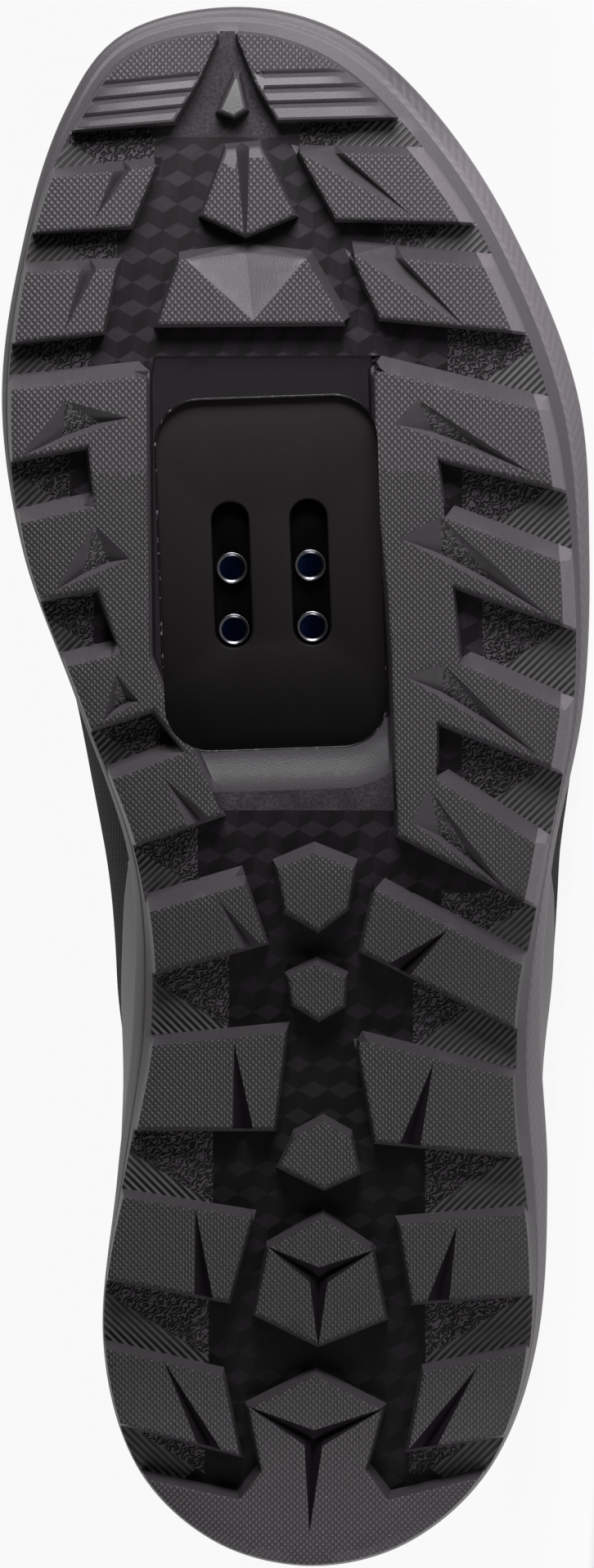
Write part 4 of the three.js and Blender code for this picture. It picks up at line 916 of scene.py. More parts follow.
def lug_measure(points, outline, widths):
    """How far a plan point lies inside a lug's top in millimetres, or outside it as a share of the
    wall's width down to -1 at the floor."""
    near = np.full(len(points), -1.0)
    low, high = outline.min(0) - 5, outline.max(0) + 5
    close = np.flatnonzero(((points > low) & (points < high)).all(1))
    if not len(close):
        return near
    p = points[close][:, None]
    starts, ends = outline[None], np.roll(outline, -1, axis=0)[None]
    spans = ends - starts
    share = ((p - starts) * spans).sum(-1) / (spans ** 2).sum(-1)
    normals = edge_normals(outline)[None]
    out = ((p - starts) * normals).sum(-1)
    distance = np.linalg.norm(p - starts - spans * np.clip(share, 0, 1)[..., None], axis=-1)
    fall = 1 - out / widths[None]
    beside = (share >= 0) & (share <= 1) & (out >= 0)
    flat = np.where(beside, fall, -9).max(1)
    before, after = np.roll(share, 1, axis=1) > 1, share < 0
    corner = before & after & (np.roll(out, 1, axis=1) > 0) & (out > 0)
    pointed = np.where(corner, np.minimum(np.roll(fall, 1, axis=1), fall), -9).max(1)
    outside = np.clip(np.maximum(flat, pointed), 0, 1) - 1
    near[close] = np.where(inside(points[close], outline), distance.min(1), outside)
    return near


def groove_cut(mouth, tip, medial, lateral, lugs):
    """A V-groove as sloping triangles of x, y and depth. It opens at a lug's edge and runs out to a
    point at the foot of the wall there."""
    start, end = spot(mouth), spot(tip)
    found = [(nearest_on(start, outline), outline, widths) for outline, widths in lugs]
    (opening, normal, edge), outline, widths = min(found, key=lambda f: np.linalg.norm(f[0][0] - start))
    inwards = unit(end - opening)
    across = np.array([-inwards[1], inwards[0]])
    across = across * np.sign(across[1])
    along_edge = np.array([-normal[1], normal[0]])
    along_edge = along_edge * np.sign(along_edge @ across)
    lean = max(abs(along_edge @ across), 0.5)
    left = nearest_on(opening - along_edge * medial / lean, outline)[0]
    right = nearest_on(opening + along_edge * lateral / lean, outline)[0]
    foot = opening + normal * widths[edge]
    look = WALL if max(medial, lateral) > WIDE_GROOVE or mouth[0] > FOREFOOT else SMOOTH
    return valley(end, left, right, opening, look) + valley(foot, left, right, opening, WALL)


def valley(tip, left, right, mouth, look):
    """Two facets that meet in a line from a tip at the surface down to the mouth."""
    deep = (*mouth, mm("groove_depth"))
    return [(((*tip, 0), (*left, 0), deep), look), (((*tip, 0), deep, (*right, 0)), look)]


def arm_cut(centre, tip):
    """One arm of a Y-groove, deepest at the centre."""
    middle, end = spot(centre), spot(tip)
    forward = unit(middle - end)
    across = np.array([-forward[1], forward[0]]) * ARM_WIDTH
    return valley(end, middle - across, middle + across, middle, SMOOTH)


def pit_cut(front, inner, outer):
    """A three-cornered pit: a wrinkled middle that is flush at the front, a smooth facet at each
    side of it, and a steep wall along the rear edge."""
    f, i, o = (spot(place) for place in (front, inner, outer))
    rear = o - i
    towards = f - i - rear * np.dot(f - i, rear) / np.dot(rear, rear)
    towards = towards / np.linalg.norm(towards)
    depth = mm("pit_depth")
    r1 = (*(i + rear * 0.26 + towards), depth)
    r2 = (*(i + rear * 0.6 + towards * 0.9), depth)
    f, i, o = (*f, 0), (*i, 0), (*o, 0)
    return [((f, r1, r2), PIT), ((i, r1, f), FACET), ((f, r2, o), FACET),
            ((i, o, r2), WALL), ((i, r2, r1), WALL)]


def rib_cuts():
    """Rounded grooves across the rear of each toe pad."""
    cuts = []
    for rear, out in TOE_RIBS:
        for i in range(1, TOE_RIB_COUNT + 1):
            a, b = axis_spot(rear), axis_spot(out)
            for ahead in (-TOE_RIB_HALF_WIDTH, TOE_RIB_HALF_WIDTH):
                flat = [(p[0] + i * TOE_RIB_PITCH + ahead, p[1], 0) for p in (a, b)]
                deep = [(p[0] + i * TOE_RIB_PITCH, p[1], TOE_RIB_DEPTH) for p in (a, b)]
                cuts.append(((flat[0], flat[1], deep[0]), WALL))
                cuts.append(((flat[1], deep[1], deep[0]), WALL))
    return cuts


def tread_cuts(lugs):
    """Every cut in the lugs, as sloping triangles and their look."""
    cuts = rib_cuts()
    for groove in GROOVES:
        cuts += groove_cut(*groove, lugs)
    for centre, arms in Y_GROOVES:
        for arm in arms:
            cuts += arm_cut(centre, arm)
    for pit in PITS:
        cuts += pit_cut(*pit)
    return cuts


def cut_depths(points, cuts):
    """The deepest cut over each plan point, and its look."""
    depth, look = np.zeros(len(points)), np.full(len(points), -1)
    for corners, kind in cuts:
        a, b, c = np.array(corners, float)
        area = cross(b - a, c - a)
        if abs(area) < 1e-6:
            continue
        v = points - a[:2]
        s, t = cross(v, c - a) / area, cross(b - a, v) / area
        within = (s > -CLOSE) & (t > -CLOSE) & (s + t < 1 + CLOSE)
        here = np.where(within, a[2] + s * (b[2] - a[2]) + t * (c[2] - a[2]), 0)
        deeper = here > depth + CLOSE / 10
        depth, look = np.where(deeper, here, depth), np.where(deeper, kind, look)
    return depth, look


def gap_slant(along, rear, front):
    """How far out the ribs' border stands at a place along a gap, measured from its middle."""
    return GAP_SLANT * (along - (rear + front) / 2) * SOLE_LENGTH


class Tread:
    """The tread as seen from below: its lines in plan, and the height and look at any place."""

    def __init__(self):
        self.lugs = [(outline, wall_widths(outline, wall)) for outline, wall in lug_outlines()]
        self.cuts = tread_cuts(self.lugs)
        self.loop = evenly(tread_point, EDGE_STEP)
        self.edge = tread_point(self.loop)
        self.root = tread_point(self.loop, outer_growth(self.loop))
        inner = [spot(p) for p in RAILS[0][2]] + [spot(p) for p in RAILS[1][2][::-1]]
        front = [spot((POCKET_FRONT, end)) for end in POCKET_FRONT_ENDS]
        self.pocket = counter_clockwise(inner + front)
        self.window = at_cleat(rounded_rectangle(WINDOW_LENGTH, WINDOW_WIDTH, WINDOW_CORNER, 8))
        rear = axis_spot((CLEAT_ALONG, 0))[0] - WINDOW_LENGTH / 2
        self.ramp_front, self.ramp_foot = rear + WINDOW_CORNER, rear - POCKET_RAMP - RAMP_FOOT
        self.round = mm("edge_round")

    def lines(self):
        """Every line that the triangles keep, and whether it closes."""
        kept = [(self.edge, True), (self.root, True), (resample(self.window, LINE_STEP), True),
                (tread_point(self.loop, -END_WALL), True)]

        def keep(line, closed=True):
            kept.append((resample(line, LINE_STEP, closed), closed))

        for outline, widths in self.lugs:
            for moved in (outline, widened(outline, widths), widened(outline, -self.round)):
                keep(moved)
        for corners, _ in self.cuts:
            keep([corner[:2] for corner in corners])
        for margin in (POCKET_MARGIN, POCKET_MARGIN + POCKET_WALL):
            keep(widened(self.pocket, -margin))
        for x in (self.ramp_front, self.ramp_foot):
            keep([(x, end) for end in POCKET_SIDES], closed=False)
        for width in RAMP_LINES:
            keep(widened(counter_clockwise(self.window), width))
        for side, rear, front, ribs, wrinkles in FLOOR_GAPS:
            for out, lean in ((ribs, side), (wrinkles, 0)):
                keep([(along * SOLE_LENGTH, out * BALL_WIDTH + lean * gap_slant(along, rear, front))
                      for along in (rear, front)], closed=False)
        return kept

    def edge_measure(self, points):
        """Millimetres inside the tread's edge, or minus the share of the way down its outer wall."""
        edge, root = distance_to(points, self.edge), distance_to(points, self.root)
        along, across = points[:, 0] / SOLE_LENGTH, across_share(points[:, 0], points[:, 1])
        fade = (np.clip((along - WAIST) / END_FADE, 0, 1) * np.clip((END_STOP - along) / END_FADE, 0, 1)
                * (across > 0))
        sloping = np.maximum(END_WALL * fade, 1e-3)
        within = np.where(edge < sloping, END_FALL * fade * (edge / sloping - 1), edge - sloping)
        beyond = -(END_FALL * fade + (1 - END_FALL * fade) * edge / np.maximum(edge + root, 1e-6))
        return np.where(inside(points, self.edge), within, beyond)

    def surface(self, points):
        """The height over each plan point, and the look of the rubber there."""
        x, y = points[:, 0], points[:, 1]
        measure = np.max([lug_measure(points, *lug) for lug in self.lugs], axis=0)
        measure = np.minimum(measure, self.edge_measure(points))
        depth = mm("lug_depth")
        rounding = 0.6 * self.round
        top = rounding * (1 - np.clip(measure / self.round, 0, 1)) ** 2
        drop = np.where(measure >= 0, top, rounding + (depth - rounding) * -measure)
        cut, kind = cut_depths(points, self.cuts)
        height = ground_height(x, y) + np.minimum(drop + cut, depth)
        bumper = BUMPER_START * SOLE_LENGTH
        look = np.where(measure > 0, np.where(x > FOREFOOT * SOLE_LENGTH, KNURL_FORE, KNURL), WALL)
        # The lateral outer end walls from the waist to the bumper get rubber painted pale as light
        at_end = (distance_to(points, self.edge) < END_WALL) & (across_share(x, y) > 0)
        at_end &= (x > WAIST * SOLE_LENGTH) & (x < bumper)
        look = np.where((look == WALL) & at_end, ENDS_PAINTED_LIGHT, look)
        on_floor = -0.97
        look = np.where(measure < on_floor, self.floor_look(x, y), look)
        look = np.where((cut > 0.02) & (measure > on_floor), kind, look)
        look = np.where((look == KNURL_FORE) & self.smooth_top(x, y), WALL, look)
        (medial, lateral), front = BETWEEN_PADS, BETWEEN_PADS_FRONT * SOLE_LENGTH
        between_pads = (x > bumper) & (x < front) & (y > medial) & (y < lateral)
        look = np.where((look == KNURL_FORE) & between_pads, FACET, look)
        return self.pocketed(points, height, look)

    def smooth_top(self, x, y):
        """The ribbed rear of the toe pads, and the smooth head of the arrow lug behind them."""
        ends = np.array([axis_spot(end) for rib in TOE_RIBS for end in rib])
        rear = np.interp(y, ends[:, 1], ends[:, 0])
        ribs = (x > BUMPER_START * SOLE_LENGTH) & (x < rear + TOE_RIB_COUNT * TOE_RIB_PITCH)
        ribs &= (y < ends[1, 1] + 1) | (y > ends[2, 1] - 1)
        beside = np.abs(y - ARROW_AXIS)
        return ribs | ((x > ARROW_HEAD - 0.45 * beside) & (x < ARROW_TIP) & (beside < ARROW_HALF_WIDTH))

    def floor_look(self, x, y):
        """In each gap ribs at the outer edge, then wrinkles, and cubes in the middle."""
        along = x / SOLE_LENGTH
        look = np.where(along > TOE_CHANNEL, GROUND, CUBES)
        for side, rear, front, ribs, wrinkles in FLOOR_GAPS:
            out = side * y / BALL_WIDTH
            slant = gap_slant(along, rear, front) / BALL_WIDTH
            here = (along >= rear) & (along < front) & (out > wrinkles * side)
            look = np.where(here, WRINKLE, look)
            ribbed = RIBS if side > 0 or front > 0.45 else RIBS_BACK
            look = np.where(here & (out - slant > ribs * side), ribbed, look)
        return look

    def pocketed(self, points, height, look):
        """Sinks the cleat pocket, which climbs back to the tread's floor along a ramp."""
        edges = distance_to(points, self.pocket)
        within = inside(points, self.pocket)
        sink = np.clip((edges - POCKET_MARGIN) / POCKET_WALL, 0, 1) * within
        behind = np.clip((self.ramp_front - points[:, 0]) / WINDOW_CORNER, 0, 1)
        climb = np.clip(behind * distance_to(points, self.window) / POCKET_RAMP, 0, 1)
        sink *= 1 - climb * climb * (3 - 2 * climb)
        floor = np.maximum(height, POCKET_FLOOR)
        inner = within & (edges > POCKET_MARGIN)
        look = np.where(inner & (climb < 1), np.where(climb > 0.02, FACET, SMOOTH), look)
        look = np.where(within & (climb >= 1) & (points[:, 0] > self.ramp_foot), GROUND, look)
        return height + (floor - height) * sink, look


def side_profile(loop):
    """Points up the sole's side from the tread's edge to the lip, then down inside to the footbed:
    a bevel, a thin groove, the bulging side band and the lip round the upper."""
    inset = tread_inset(loop)
    along = along_of(loop)
    foot, lip = footbed_height(along), lip_height(along)
    root = tread_point(loop, outer_growth(loop))
    floor = floor_height(root[:, 0], root[:, 1])
    climb = foot - floor

    def at(inwards, height):
        return raised(inset_point(loop, inwards), height)

    bevel, groove, *band = (at(share * inset + more, floor + rise * climb + extra)
                            for share, more, rise, extra in SIDE_ROWS)
    lip_rise = rise_at_height(loop, lip)

    band += [shell_point(loop, rise_at_height(loop, 0.55 * lip), LIP_THICKNESS),
             shell_point(loop, lip_rise, 0.8 * LIP_THICKNESS)]
    inner = last_point(loop, 0)
    inner[:, 2] -= GAP
    return [bevel, groove, *curve_through(band, 4),
            shell_point(loop, lip_rise * 1.01, 0.35 * LIP_THICKNESS),
            shell_point(loop, lip_rise, GAP), shell_point(loop, lip_rise / 2, GAP), inner]


def loop_places(points):
    """Where on the outline loop plan points of the tread's root line lie."""
    fine = np.linspace(0, 2, 24001)
    curve = tread_point(fine, outer_growth(fine))
    return np.array([fine[np.argmin(((curve - p) ** 2).sum(1))] for p in points])


def build_outsole():
    """One closed rubber solid: the tread, the rows up its side and round its window, and a cap."""
    materials = rubber_materials()
    tread = Tread()
    low, high = tread.root.min(0), tread.root.max(0)
    grid = np.stack(np.meshgrid(np.arange(low[0], high[0], GRID_STEP),
                                np.arange(low[1], high[1], GRID_STEP), indexing="ij"), -1)
    grid[1::2, :, 1] += GRID_STEP / 2
    plan, faces, _ = triangulate(tread.lines(), grid.reshape(-1, 2))
    faces = facing_up(plan, faces)
    middles = plan[faces].mean(1)
    faces = faces[inside(middles, tread.root) & ~inside(middles, tread.window)]
    used, faces = np.unique(faces, return_inverse=True)
    plan, faces = plan[used], faces.reshape(-1, 3)[:, ::-1]
    height, _ = tread.surface(plan)
    _, looks = tread.surface(plan[faces].mean(1))
    points = [raised(plan, height)]
    all_faces = [faces]
    all_looks = [looks]
    flat = [plan[faces].reshape(-1, 2)]
    count = len(plan)
    outer, hole = (np.array(loop) for loop in edge_loops(faces)[:2])
    ends = []

    def add_rows(base, rows, row_looks):
        nonlocal count
        below = base
        arc = travel(np.concatenate([rows[0], rows[0][:1]]))
        up = np.zeros(len(base))
        before = points[0][base]
        for row, look in zip(rows, row_looks):
            above = np.arange(count, count + len(row))
            count += len(row)
            points.append(row)
            step = up + np.linalg.norm(row - before, axis=-1)
            ahead, next_up, next_step = np.roll(below, -1), np.roll(up, -1), np.roll(step, -1)
            all_faces.append(np.stack([ahead, below, above, np.roll(above, -1)], -1))
            all_looks.append(np.zeros(len(row), int) + look)
            corners = np.stack([np.stack([arc[1:], next_up], -1), np.stack([arc[:-1], up], -1),
                                np.stack([arc[:-1], step], -1), np.stack([arc[1:], next_step], -1)], 1)
            flat.append(corners.reshape(-1, 2))
            below, up, before = above, step, row
        ends.append((below, rows[-1]))

    places = loop_places(plan[outer])
    rows = side_profile(places)
    smooth_rubber = (along_of(places) > SIDE_BAND_END) | (places % 2 > 1)
    band_look = np.where(smooth_rubber, BUMPER, SIDE)
    hidden_rows = 3
    side_looks = [BUMPER, SMOOTH] + [band_look] * (len(rows) - 2 - hidden_rows) + [INNER] * hidden_rows
    add_rows(outer, rows, side_looks)
    rim = plan[hole]
    outwards = unit(rim - np.roll(rim, 1, axis=0)) + unit(np.roll(rim, -1, axis=0) - rim)
    outwards = unit(np.stack([outwards[:, 1], -outwards[:, 0]], -1))
    if inside((rim + outwards)[:1], tread.window)[0]:
        outwards = -outwards
    seat = rim + outwards * (PLATE_SEAT + GAP)
    foot = footbed_height(seat[:, 0] / SOLE_LENGTH) - GAP
    seat_rows = [raised(rim, PLATE_RECESS - GAP), raised(seat, PLATE_RECESS - GAP), raised(seat, foot)]
    add_rows(hole, seat_rows, [WALL, INNER, INNER])
    cap_lines = [(end[1][:, :2], True) for end in ends]
    inner_grid = grid[::3, ::3].reshape(-1, 2)
    clear = inside(inner_grid, ends[0][1][:, :2]) & ~inside(inner_grid, ends[1][1][:, :2])
    cap_plan, cap_faces, origins = triangulate(cap_lines, inner_grid[clear])
    cap_faces = facing_up(cap_plan, cap_faces)
    middles = cap_plan[cap_faces].mean(1)
    cap_faces = cap_faces[inside(middles, cap_lines[0][0]) & ~inside(middles, cap_lines[1][0])]
    known = np.concatenate([end[0] for end in ends])
    index = np.zeros(len(cap_plan), int)
    extra = []
    for i, origin in enumerate(origins):
        if origin and min(origin) < len(known):
            index[i] = known[min(origin)]
        else:
            index[i] = count + len(extra)
            extra.append((*cap_plan[i], footbed_height(cap_plan[i][0] / SOLE_LENGTH) - GAP))
    points.append(np.array(extra))
    all_faces.append(index[cap_faces])
    all_looks.append(np.full(len(cap_faces), INNER))
    flat.append(cap_plan[cap_faces].reshape(-1, 2))
    points = np.concatenate(points)
    listed = [face for block in all_faces for face in block.tolist()]
    return make_object("sole_rubber", points, listed, materials, np.concatenate(all_looks),
                       np.concatenate(flat), sharp=24)


# ---- Materials ----

def add(tree, kind, links=None, **settings):
    """Adds a node with its settings. Each link is a value, or another node's output."""
    made = tree.nodes.new("ShaderNode" + kind)
    for key, value in settings.items():
        setattr(made, key, value)
    for key, value in (links or {}).items():
        if isinstance(value, bpy.types.NodeSocket):
            tree.links.new(value, made.inputs[key])
        else:
            made.inputs[key].default_value = value
    return made.outputs[0] if made.outputs else made


def material(name, tint, paint, roughness, relief, **shader):
    """A material whose paint gives a share of its tint and a height from 0 to 1. relief is that
    height in millimetres."""
    made = bpy.data.materials.new(name)
    made.use_nodes = True
    tree = made.node_tree
    tree.nodes.clear()
    place = add(tree, "UVMap", uv_map="mm")
    tone, height = paint(tree, place)
    tinted = add(tree, "VectorMath", {0: tint, 1: tone}, operation="MULTIPLY")
    settings = {"Base Color": tinted, "Roughness": roughness}
    settings.update({key.replace("_", " "): value for key, value in shader.items()})
    settings["Normal"] = add(tree, "Bump", {"Strength": 1, "Distance": relief / 1000, "Height": height})
    surface = add(tree, "BsdfPrincipled", settings)
    add(tree, "OutputMaterial", {"Surface": surface})
    return made


def wave(tree, place, direction, pitch):
    """A smooth wave from 0 to 1 over the pattern's map, one crest each pitch along a direction."""
    step = [2 * math.pi * part / pitch for part in direction]
    turned = add(tree, "VectorMath", {0: place, 1: (step[0], step[1], 0)}, operation="DOT_PRODUCT")
    turned = turned.node.outputs["Value"]
    sine = add(tree, "Math", {0: turned}, operation="SINE")
    return add(tree, "Math", {0: sine, 1: 0.5, 2: 0.5}, operation="MULTIPLY_ADD")


def speckle(tree, place, size, low, high):
    """Soft blotches of a size in millimetres, from a low to a high tone."""
    noise = add(tree, "TexNoise", {"Vector": place, "Scale": 1 / size, "Detail": 3})
    return add(tree, "MapRange", {0: noise, 1: 0.3, 2: 0.7, 3: low, 4: high})


def layered(tree, tone, *others):
    """A tone with others laid over it, each of which darkens or lightens what is below."""
    for other in others:
        tone = add(tree, "Math", {0: tone, 1: other}, operation="MULTIPLY")
    return tone


def along_tone(tree, place, start, end, low, high):
    """A tone that changes between two places along a map, which on the tread is in millimetres from
    the heel."""
    along = add(tree, "SeparateXYZ", {0: place}).node.outputs["X"]
    return add(tree, "MapRange", {0: along, 1: start, 2: end, 3: low, 4: high})


def dust(tree, place):
    """A few pale specks of dust, each about a third of a millimetre wide."""
    cells = add(tree, "TexVoronoi", {"Vector": place, "Scale": 0.45}, feature="F1")
    return add(tree, "MapRange", {0: cells, 1: 0.03, 2: 0.08, 3: 2.6, 4: 1})


DIAGONAL = math.sqrt(0.5)


def knobs(tree, place, across, along):
    """Diamond knobs with fine grooves between, their pitches across and along in millimetres."""
    one = wave(tree, place, (1 / along, 1 / across), 1)
    other = wave(tree, place, (1 / along, -1 / across), 1)
    height = add(tree, "Math", {0: layered(tree, one, other), 1: 0.36}, operation="POWER")
    # Painted light on the knobs' tops and painted shade in the grooves between them
    tone = add(tree, "MapRange", {0: height, 1: 0.25, 2: 0.8, 3: 0.42, 4: 1.06})
    return layered(tree, tone, speckle(tree, place, 0.5, 0.88, 1.14), dust(tree, place)), height


def paint_fore_knurl(tree, place):
    # Staggered diamonds, 1.17 mm apart across and 0.64 mm from row to row
    return knobs(tree, place, 1.17, 1.28)


def paint_knurl(tree, place):
    # A square grid of knobs 0.8 mm apart, turned by 45 degrees. Painted light makes it paler at the
    # heel's edge, and painted shade makes it darker from the arch back.
    tone, height = knobs(tree, place, 1.13, 1.13)
    # heel is painted light at the heel's edge, arch is painted shade from the arch back
    heel, arch = along_tone(tree, place, 8, 36, 2.7, 1), along_tone(tree, place, 105, 150, 0.68, 1)
    return layered(tree, tone, heel, arch), height


def paint_walls(tree, place):
    # Smooth rubber, painted shade darkening it from the arch back, and a little darker towards the toe
    tone, grain = paint_smooth(tree, place)
    # arch is painted shade from the arch back; toe makes the walls a little darker near the toe
    arch, toe = along_tone(tree, place, 105, 150, 0.68, 1), along_tone(tree, place, 215, 232, 1, 0.84)
    return layered(tree, tone, arch, toe), grain


def paint_smooth(tree, place):
    # Rubber from a polished part of the mould, with a faint grain about 0.35 mm wide
    grain = speckle(tree, place, 0.35, 0, 1)
    return speckle(tree, place, 0.6, 0.9, 1.1), grain


def paint_ground(tree, place):
    # Coarse grain, as spark erosion leaves it in the mould
    grain = speckle(tree, place, 0.45, 0, 1)
    return layered(tree, speckle(tree, place, 0.6, 0.6, 1.4), speckle(tree, place, 5, 0.7, 1.2)), grain


def ribs(tree, place, direction):
    # Fine ribs 1.05 mm apart, their crests painted light and the grooves between them painted shade
    height = wave(tree, place, direction, 1.05)
    tone = add(tree, "MapRange", {0: height, 1: 0.2, 2: 0.75, 3: 0.15, 4: 1.25})
    return layered(tree, tone, speckle(tree, place, 0.6, 0.9, 1.1)), height


def paint_ribs(tree, place):
    return ribs(tree, place, (DIAGONAL, -DIAGONAL))


def paint_ribs_back(tree, place):
    return ribs(tree, place, (DIAGONAL, DIAGONAL))


def paint_wrinkle(tree, place):
    # Worm-like wrinkles about 0.9 mm apart, painted light on the worms and painted shade between them
    bent = add(tree, "TexNoise", {"Vector": place, "Scale": 0.9, "Detail": 1})
    bent = bent.node.outputs["Color"]
    shifted = add(tree, "VectorMath", {0: bent, 1: (3.2, 3.2, 0)}, operation="MULTIPLY")
    warped = add(tree, "VectorMath", {0: place, 1: shifted}, operation="ADD")
    worms = wave(tree, warped, (DIAGONAL, -DIAGONAL), 1)
    return add(tree, "MapRange", {0: worms, 1: 0.25, 2: 0.85, 3: 0.2, 4: 1.4}), worms


CUBE_EDGE = 3.1


def paint_cubes(tree, place):
    """Tumbling blocks: three faces fall away from each cube's near corner, painted in three tones of
    light and shade, one for each way a face leans, and painted shade darkens them towards the heel.
    """
    half = (1.5 * CUBE_EDGE, math.sqrt(0.75) * CUBE_EDGE, 1)
    less = tuple(-part for part in half)
    shifted = add(tree, "VectorMath", {0: place, 1: half}, operation="ADD")
    here, there = (add(tree, "VectorMath", {0: at, 1: half, 2: less}, operation="WRAP")
                   for at in (place, shifted))
    reach = [add(tree, "VectorMath", {0: at}, operation="LENGTH").node.outputs["Value"]
             for at in (here, there)]
    other = add(tree, "Math", {0: reach[0], 1: reach[1]}, operation="GREATER_THAN")
    between_them = add(tree, "VectorMath", {0: there, 1: here}, operation="SUBTRACT")
    corner = add(tree, "VectorMath", {0: between_them, 1: other, 2: here}, operation="MULTIPLY_ADD")
    falls = []
    for angle in np.radians((0, 120, 240)):
        direction = (math.cos(angle) / CUBE_EDGE, math.sin(angle) / CUBE_EDGE, 0)
        fall = add(tree, "VectorMath", {0: corner, 1: direction}, operation="DOT_PRODUCT")
        falls.append(fall.node.outputs["Value"])
    sides = add(tree, "Math", {0: falls[1], 1: falls[2]}, operation="MAXIMUM")
    # Painted light and shade: one tone for each way a face leans
    ahead = add(tree, "Math", {0: falls[0], 1: sides}, operation="GREATER_THAN")
    medial = add(tree, "Math", {0: falls[2], 1: falls[1]}, operation="GREATER_THAN")
    flank_light_and_shade = add(tree, "Math", {0: medial, 1: 0.4, 2: 0.55}, operation="MULTIPLY_ADD")
    tone = add(tree, "Math", {0: layered(tree, ahead, 1.45), 1: flank_light_and_shade}, operation="MAXIMUM")
    grain, blotches = speckle(tree, place, 0.7, 0.75, 1.25), speckle(tree, place, 9, 0.65, 1.35)
    # Painted shade: darker towards the heel from 150 mm to 90 mm
    painted_rear_shade = along_tone(tree, place, 90, 150, 0.4, 1)
    most = add(tree, "Math", {0: falls[0], 1: sides}, operation="MAXIMUM")
    height = add(tree, "Math", {0: 1, 1: most}, operation="SUBTRACT")
    return layered(tree, tone, grain, painted_rear_shade, blotches), height


def paint_side(tree, place):
    """The band round the sole: a faint herringbone of moulded lines over smooth rubber, its lines
    painted faintly darker as shade. Painted shade makes the band grow darker from 112 to 128 mm ahead
    of the shoe's middle, where the toe bumper starts."""
    a = wave(tree, place, (DIAGONAL, DIAGONAL), 1.6)
    b = wave(tree, place, (DIAGONAL, -DIAGONAL), 1.6)
    rows = add(tree, "Math", {0: wave(tree, place, (0, 1), 5), 1: 0.5}, operation="GREATER_THAN")
    lines = add(tree, "Mix", {0: rows, 2: a, 3: b})
    # Painted shade, darker towards the toe
    fade = along_tone(tree, add(tree, "TexCoord").node.outputs["Object"], 0.112, 0.128, 1, 0.48)
    tone = add(tree, "MapRange", {0: lines, 3: 0.9, 4: 1.06})
    return layered(tree, tone, speckle(tree, place, 0.7, 0.92, 1.08), fade), lines


def rubber_materials():
    """Moulded rubber, its looks in the order of the tread's regions. It is matt, its moulded knobs
    have painted light on their tops, and walls and floors come from polished parts of the mould. The
    shares of the one rubber colour carry painted light and shade: the side band and the outer ends are
    painted pale as lit faces, the square diamonds and the polished facets painted darker as shade, and
    the floors' channel colour is painted shade. Each row has the look, the colour and a share of it,
    the pattern, roughness, relief and gloss."""
    matt, dull = 0.3, 0.08
    rows = (
        ("staggered diamonds", "rubber", 1, paint_fore_knurl, 0.6, 0.2, matt),
        # Painted shade: the lugs behind the forefoot at 0.7 of the rubber
        ("square diamonds", "rubber", 0.7, paint_knurl, 0.6, 0.2, matt),
        ("polished walls", "rubber", 1, paint_walls, 0.5, 0.02, matt),
        ("polished floor", "channel", 1, paint_smooth, 0.6, 0.02, dull),
        ("wrinkled", "rubber", 0.75, paint_wrinkle, 0.6, 0.2, dull),
        ("wrinkled pits", "rubber", 0.7, paint_wrinkle, 0.6, 0.12, matt),
        ("ribbed", "rubber", 0.7, paint_ribs, 0.6, 0.2, matt),
        ("ribbed the other way", "rubber", 0.7, paint_ribs_back, 0.6, 0.2, matt),
        ("cube relief", "channel", 1, paint_cubes, 0.6, 0.25, dull),
        # Painted light: the side band at 2.3 of the rubber
        ("side band", "rubber", 2.3, paint_side, 0.55, 0.05, matt),
        ("inside", "channel", 1, paint_smooth, 0.7, 0.02, dull),
        # Painted shade: faces that lean to the light at 0.55 of the rubber
        ("polished facets", "rubber", 0.55, paint_smooth, 0.5, 0.02, matt),
        ("rough ground", "rubber", 0.55, paint_ground, 0.7, 0.1, dull),
        ("bumper", "rubber", 1.1, paint_smooth, 0.55, 0.02, matt),
        # Painted light: the outer ends at 2.3 of the rubber
        ("scuffed ends", "rubber", 2.3, paint_smooth, 0.55, 0.02, matt),
    )
    return [material("moulded rubber, " + name, colour(key, share), paint, roughness, relief,
                     Specular_IOR_Level=gloss)
            for name, key, share, paint, roughness, relief, gloss in rows]


# ---- Cleat plate and nuts ----

BEAD_OFFSET = 0.15
BEAD_RADIUS = 0.22
BEAD_SIDES = 12
PLATE_ROUNDING = 0.5

# A barrel's flange: outwards from the bore, and up from its face
FLANGE = ((0, 0.6), (0.12, 0.45), (0.1, 0.32), (0.3, 0.2), (0.28, 0.12), (0.48, 0))
FLANGE_EDGE = ((-0.16, 0), (-0.05, 0.06), (0, 0.2))
THREAD_PITCH = 0.8
THREAD_TURNS = 3
THREAD_DEPTH = 0.3
NUT_SIDES = 32


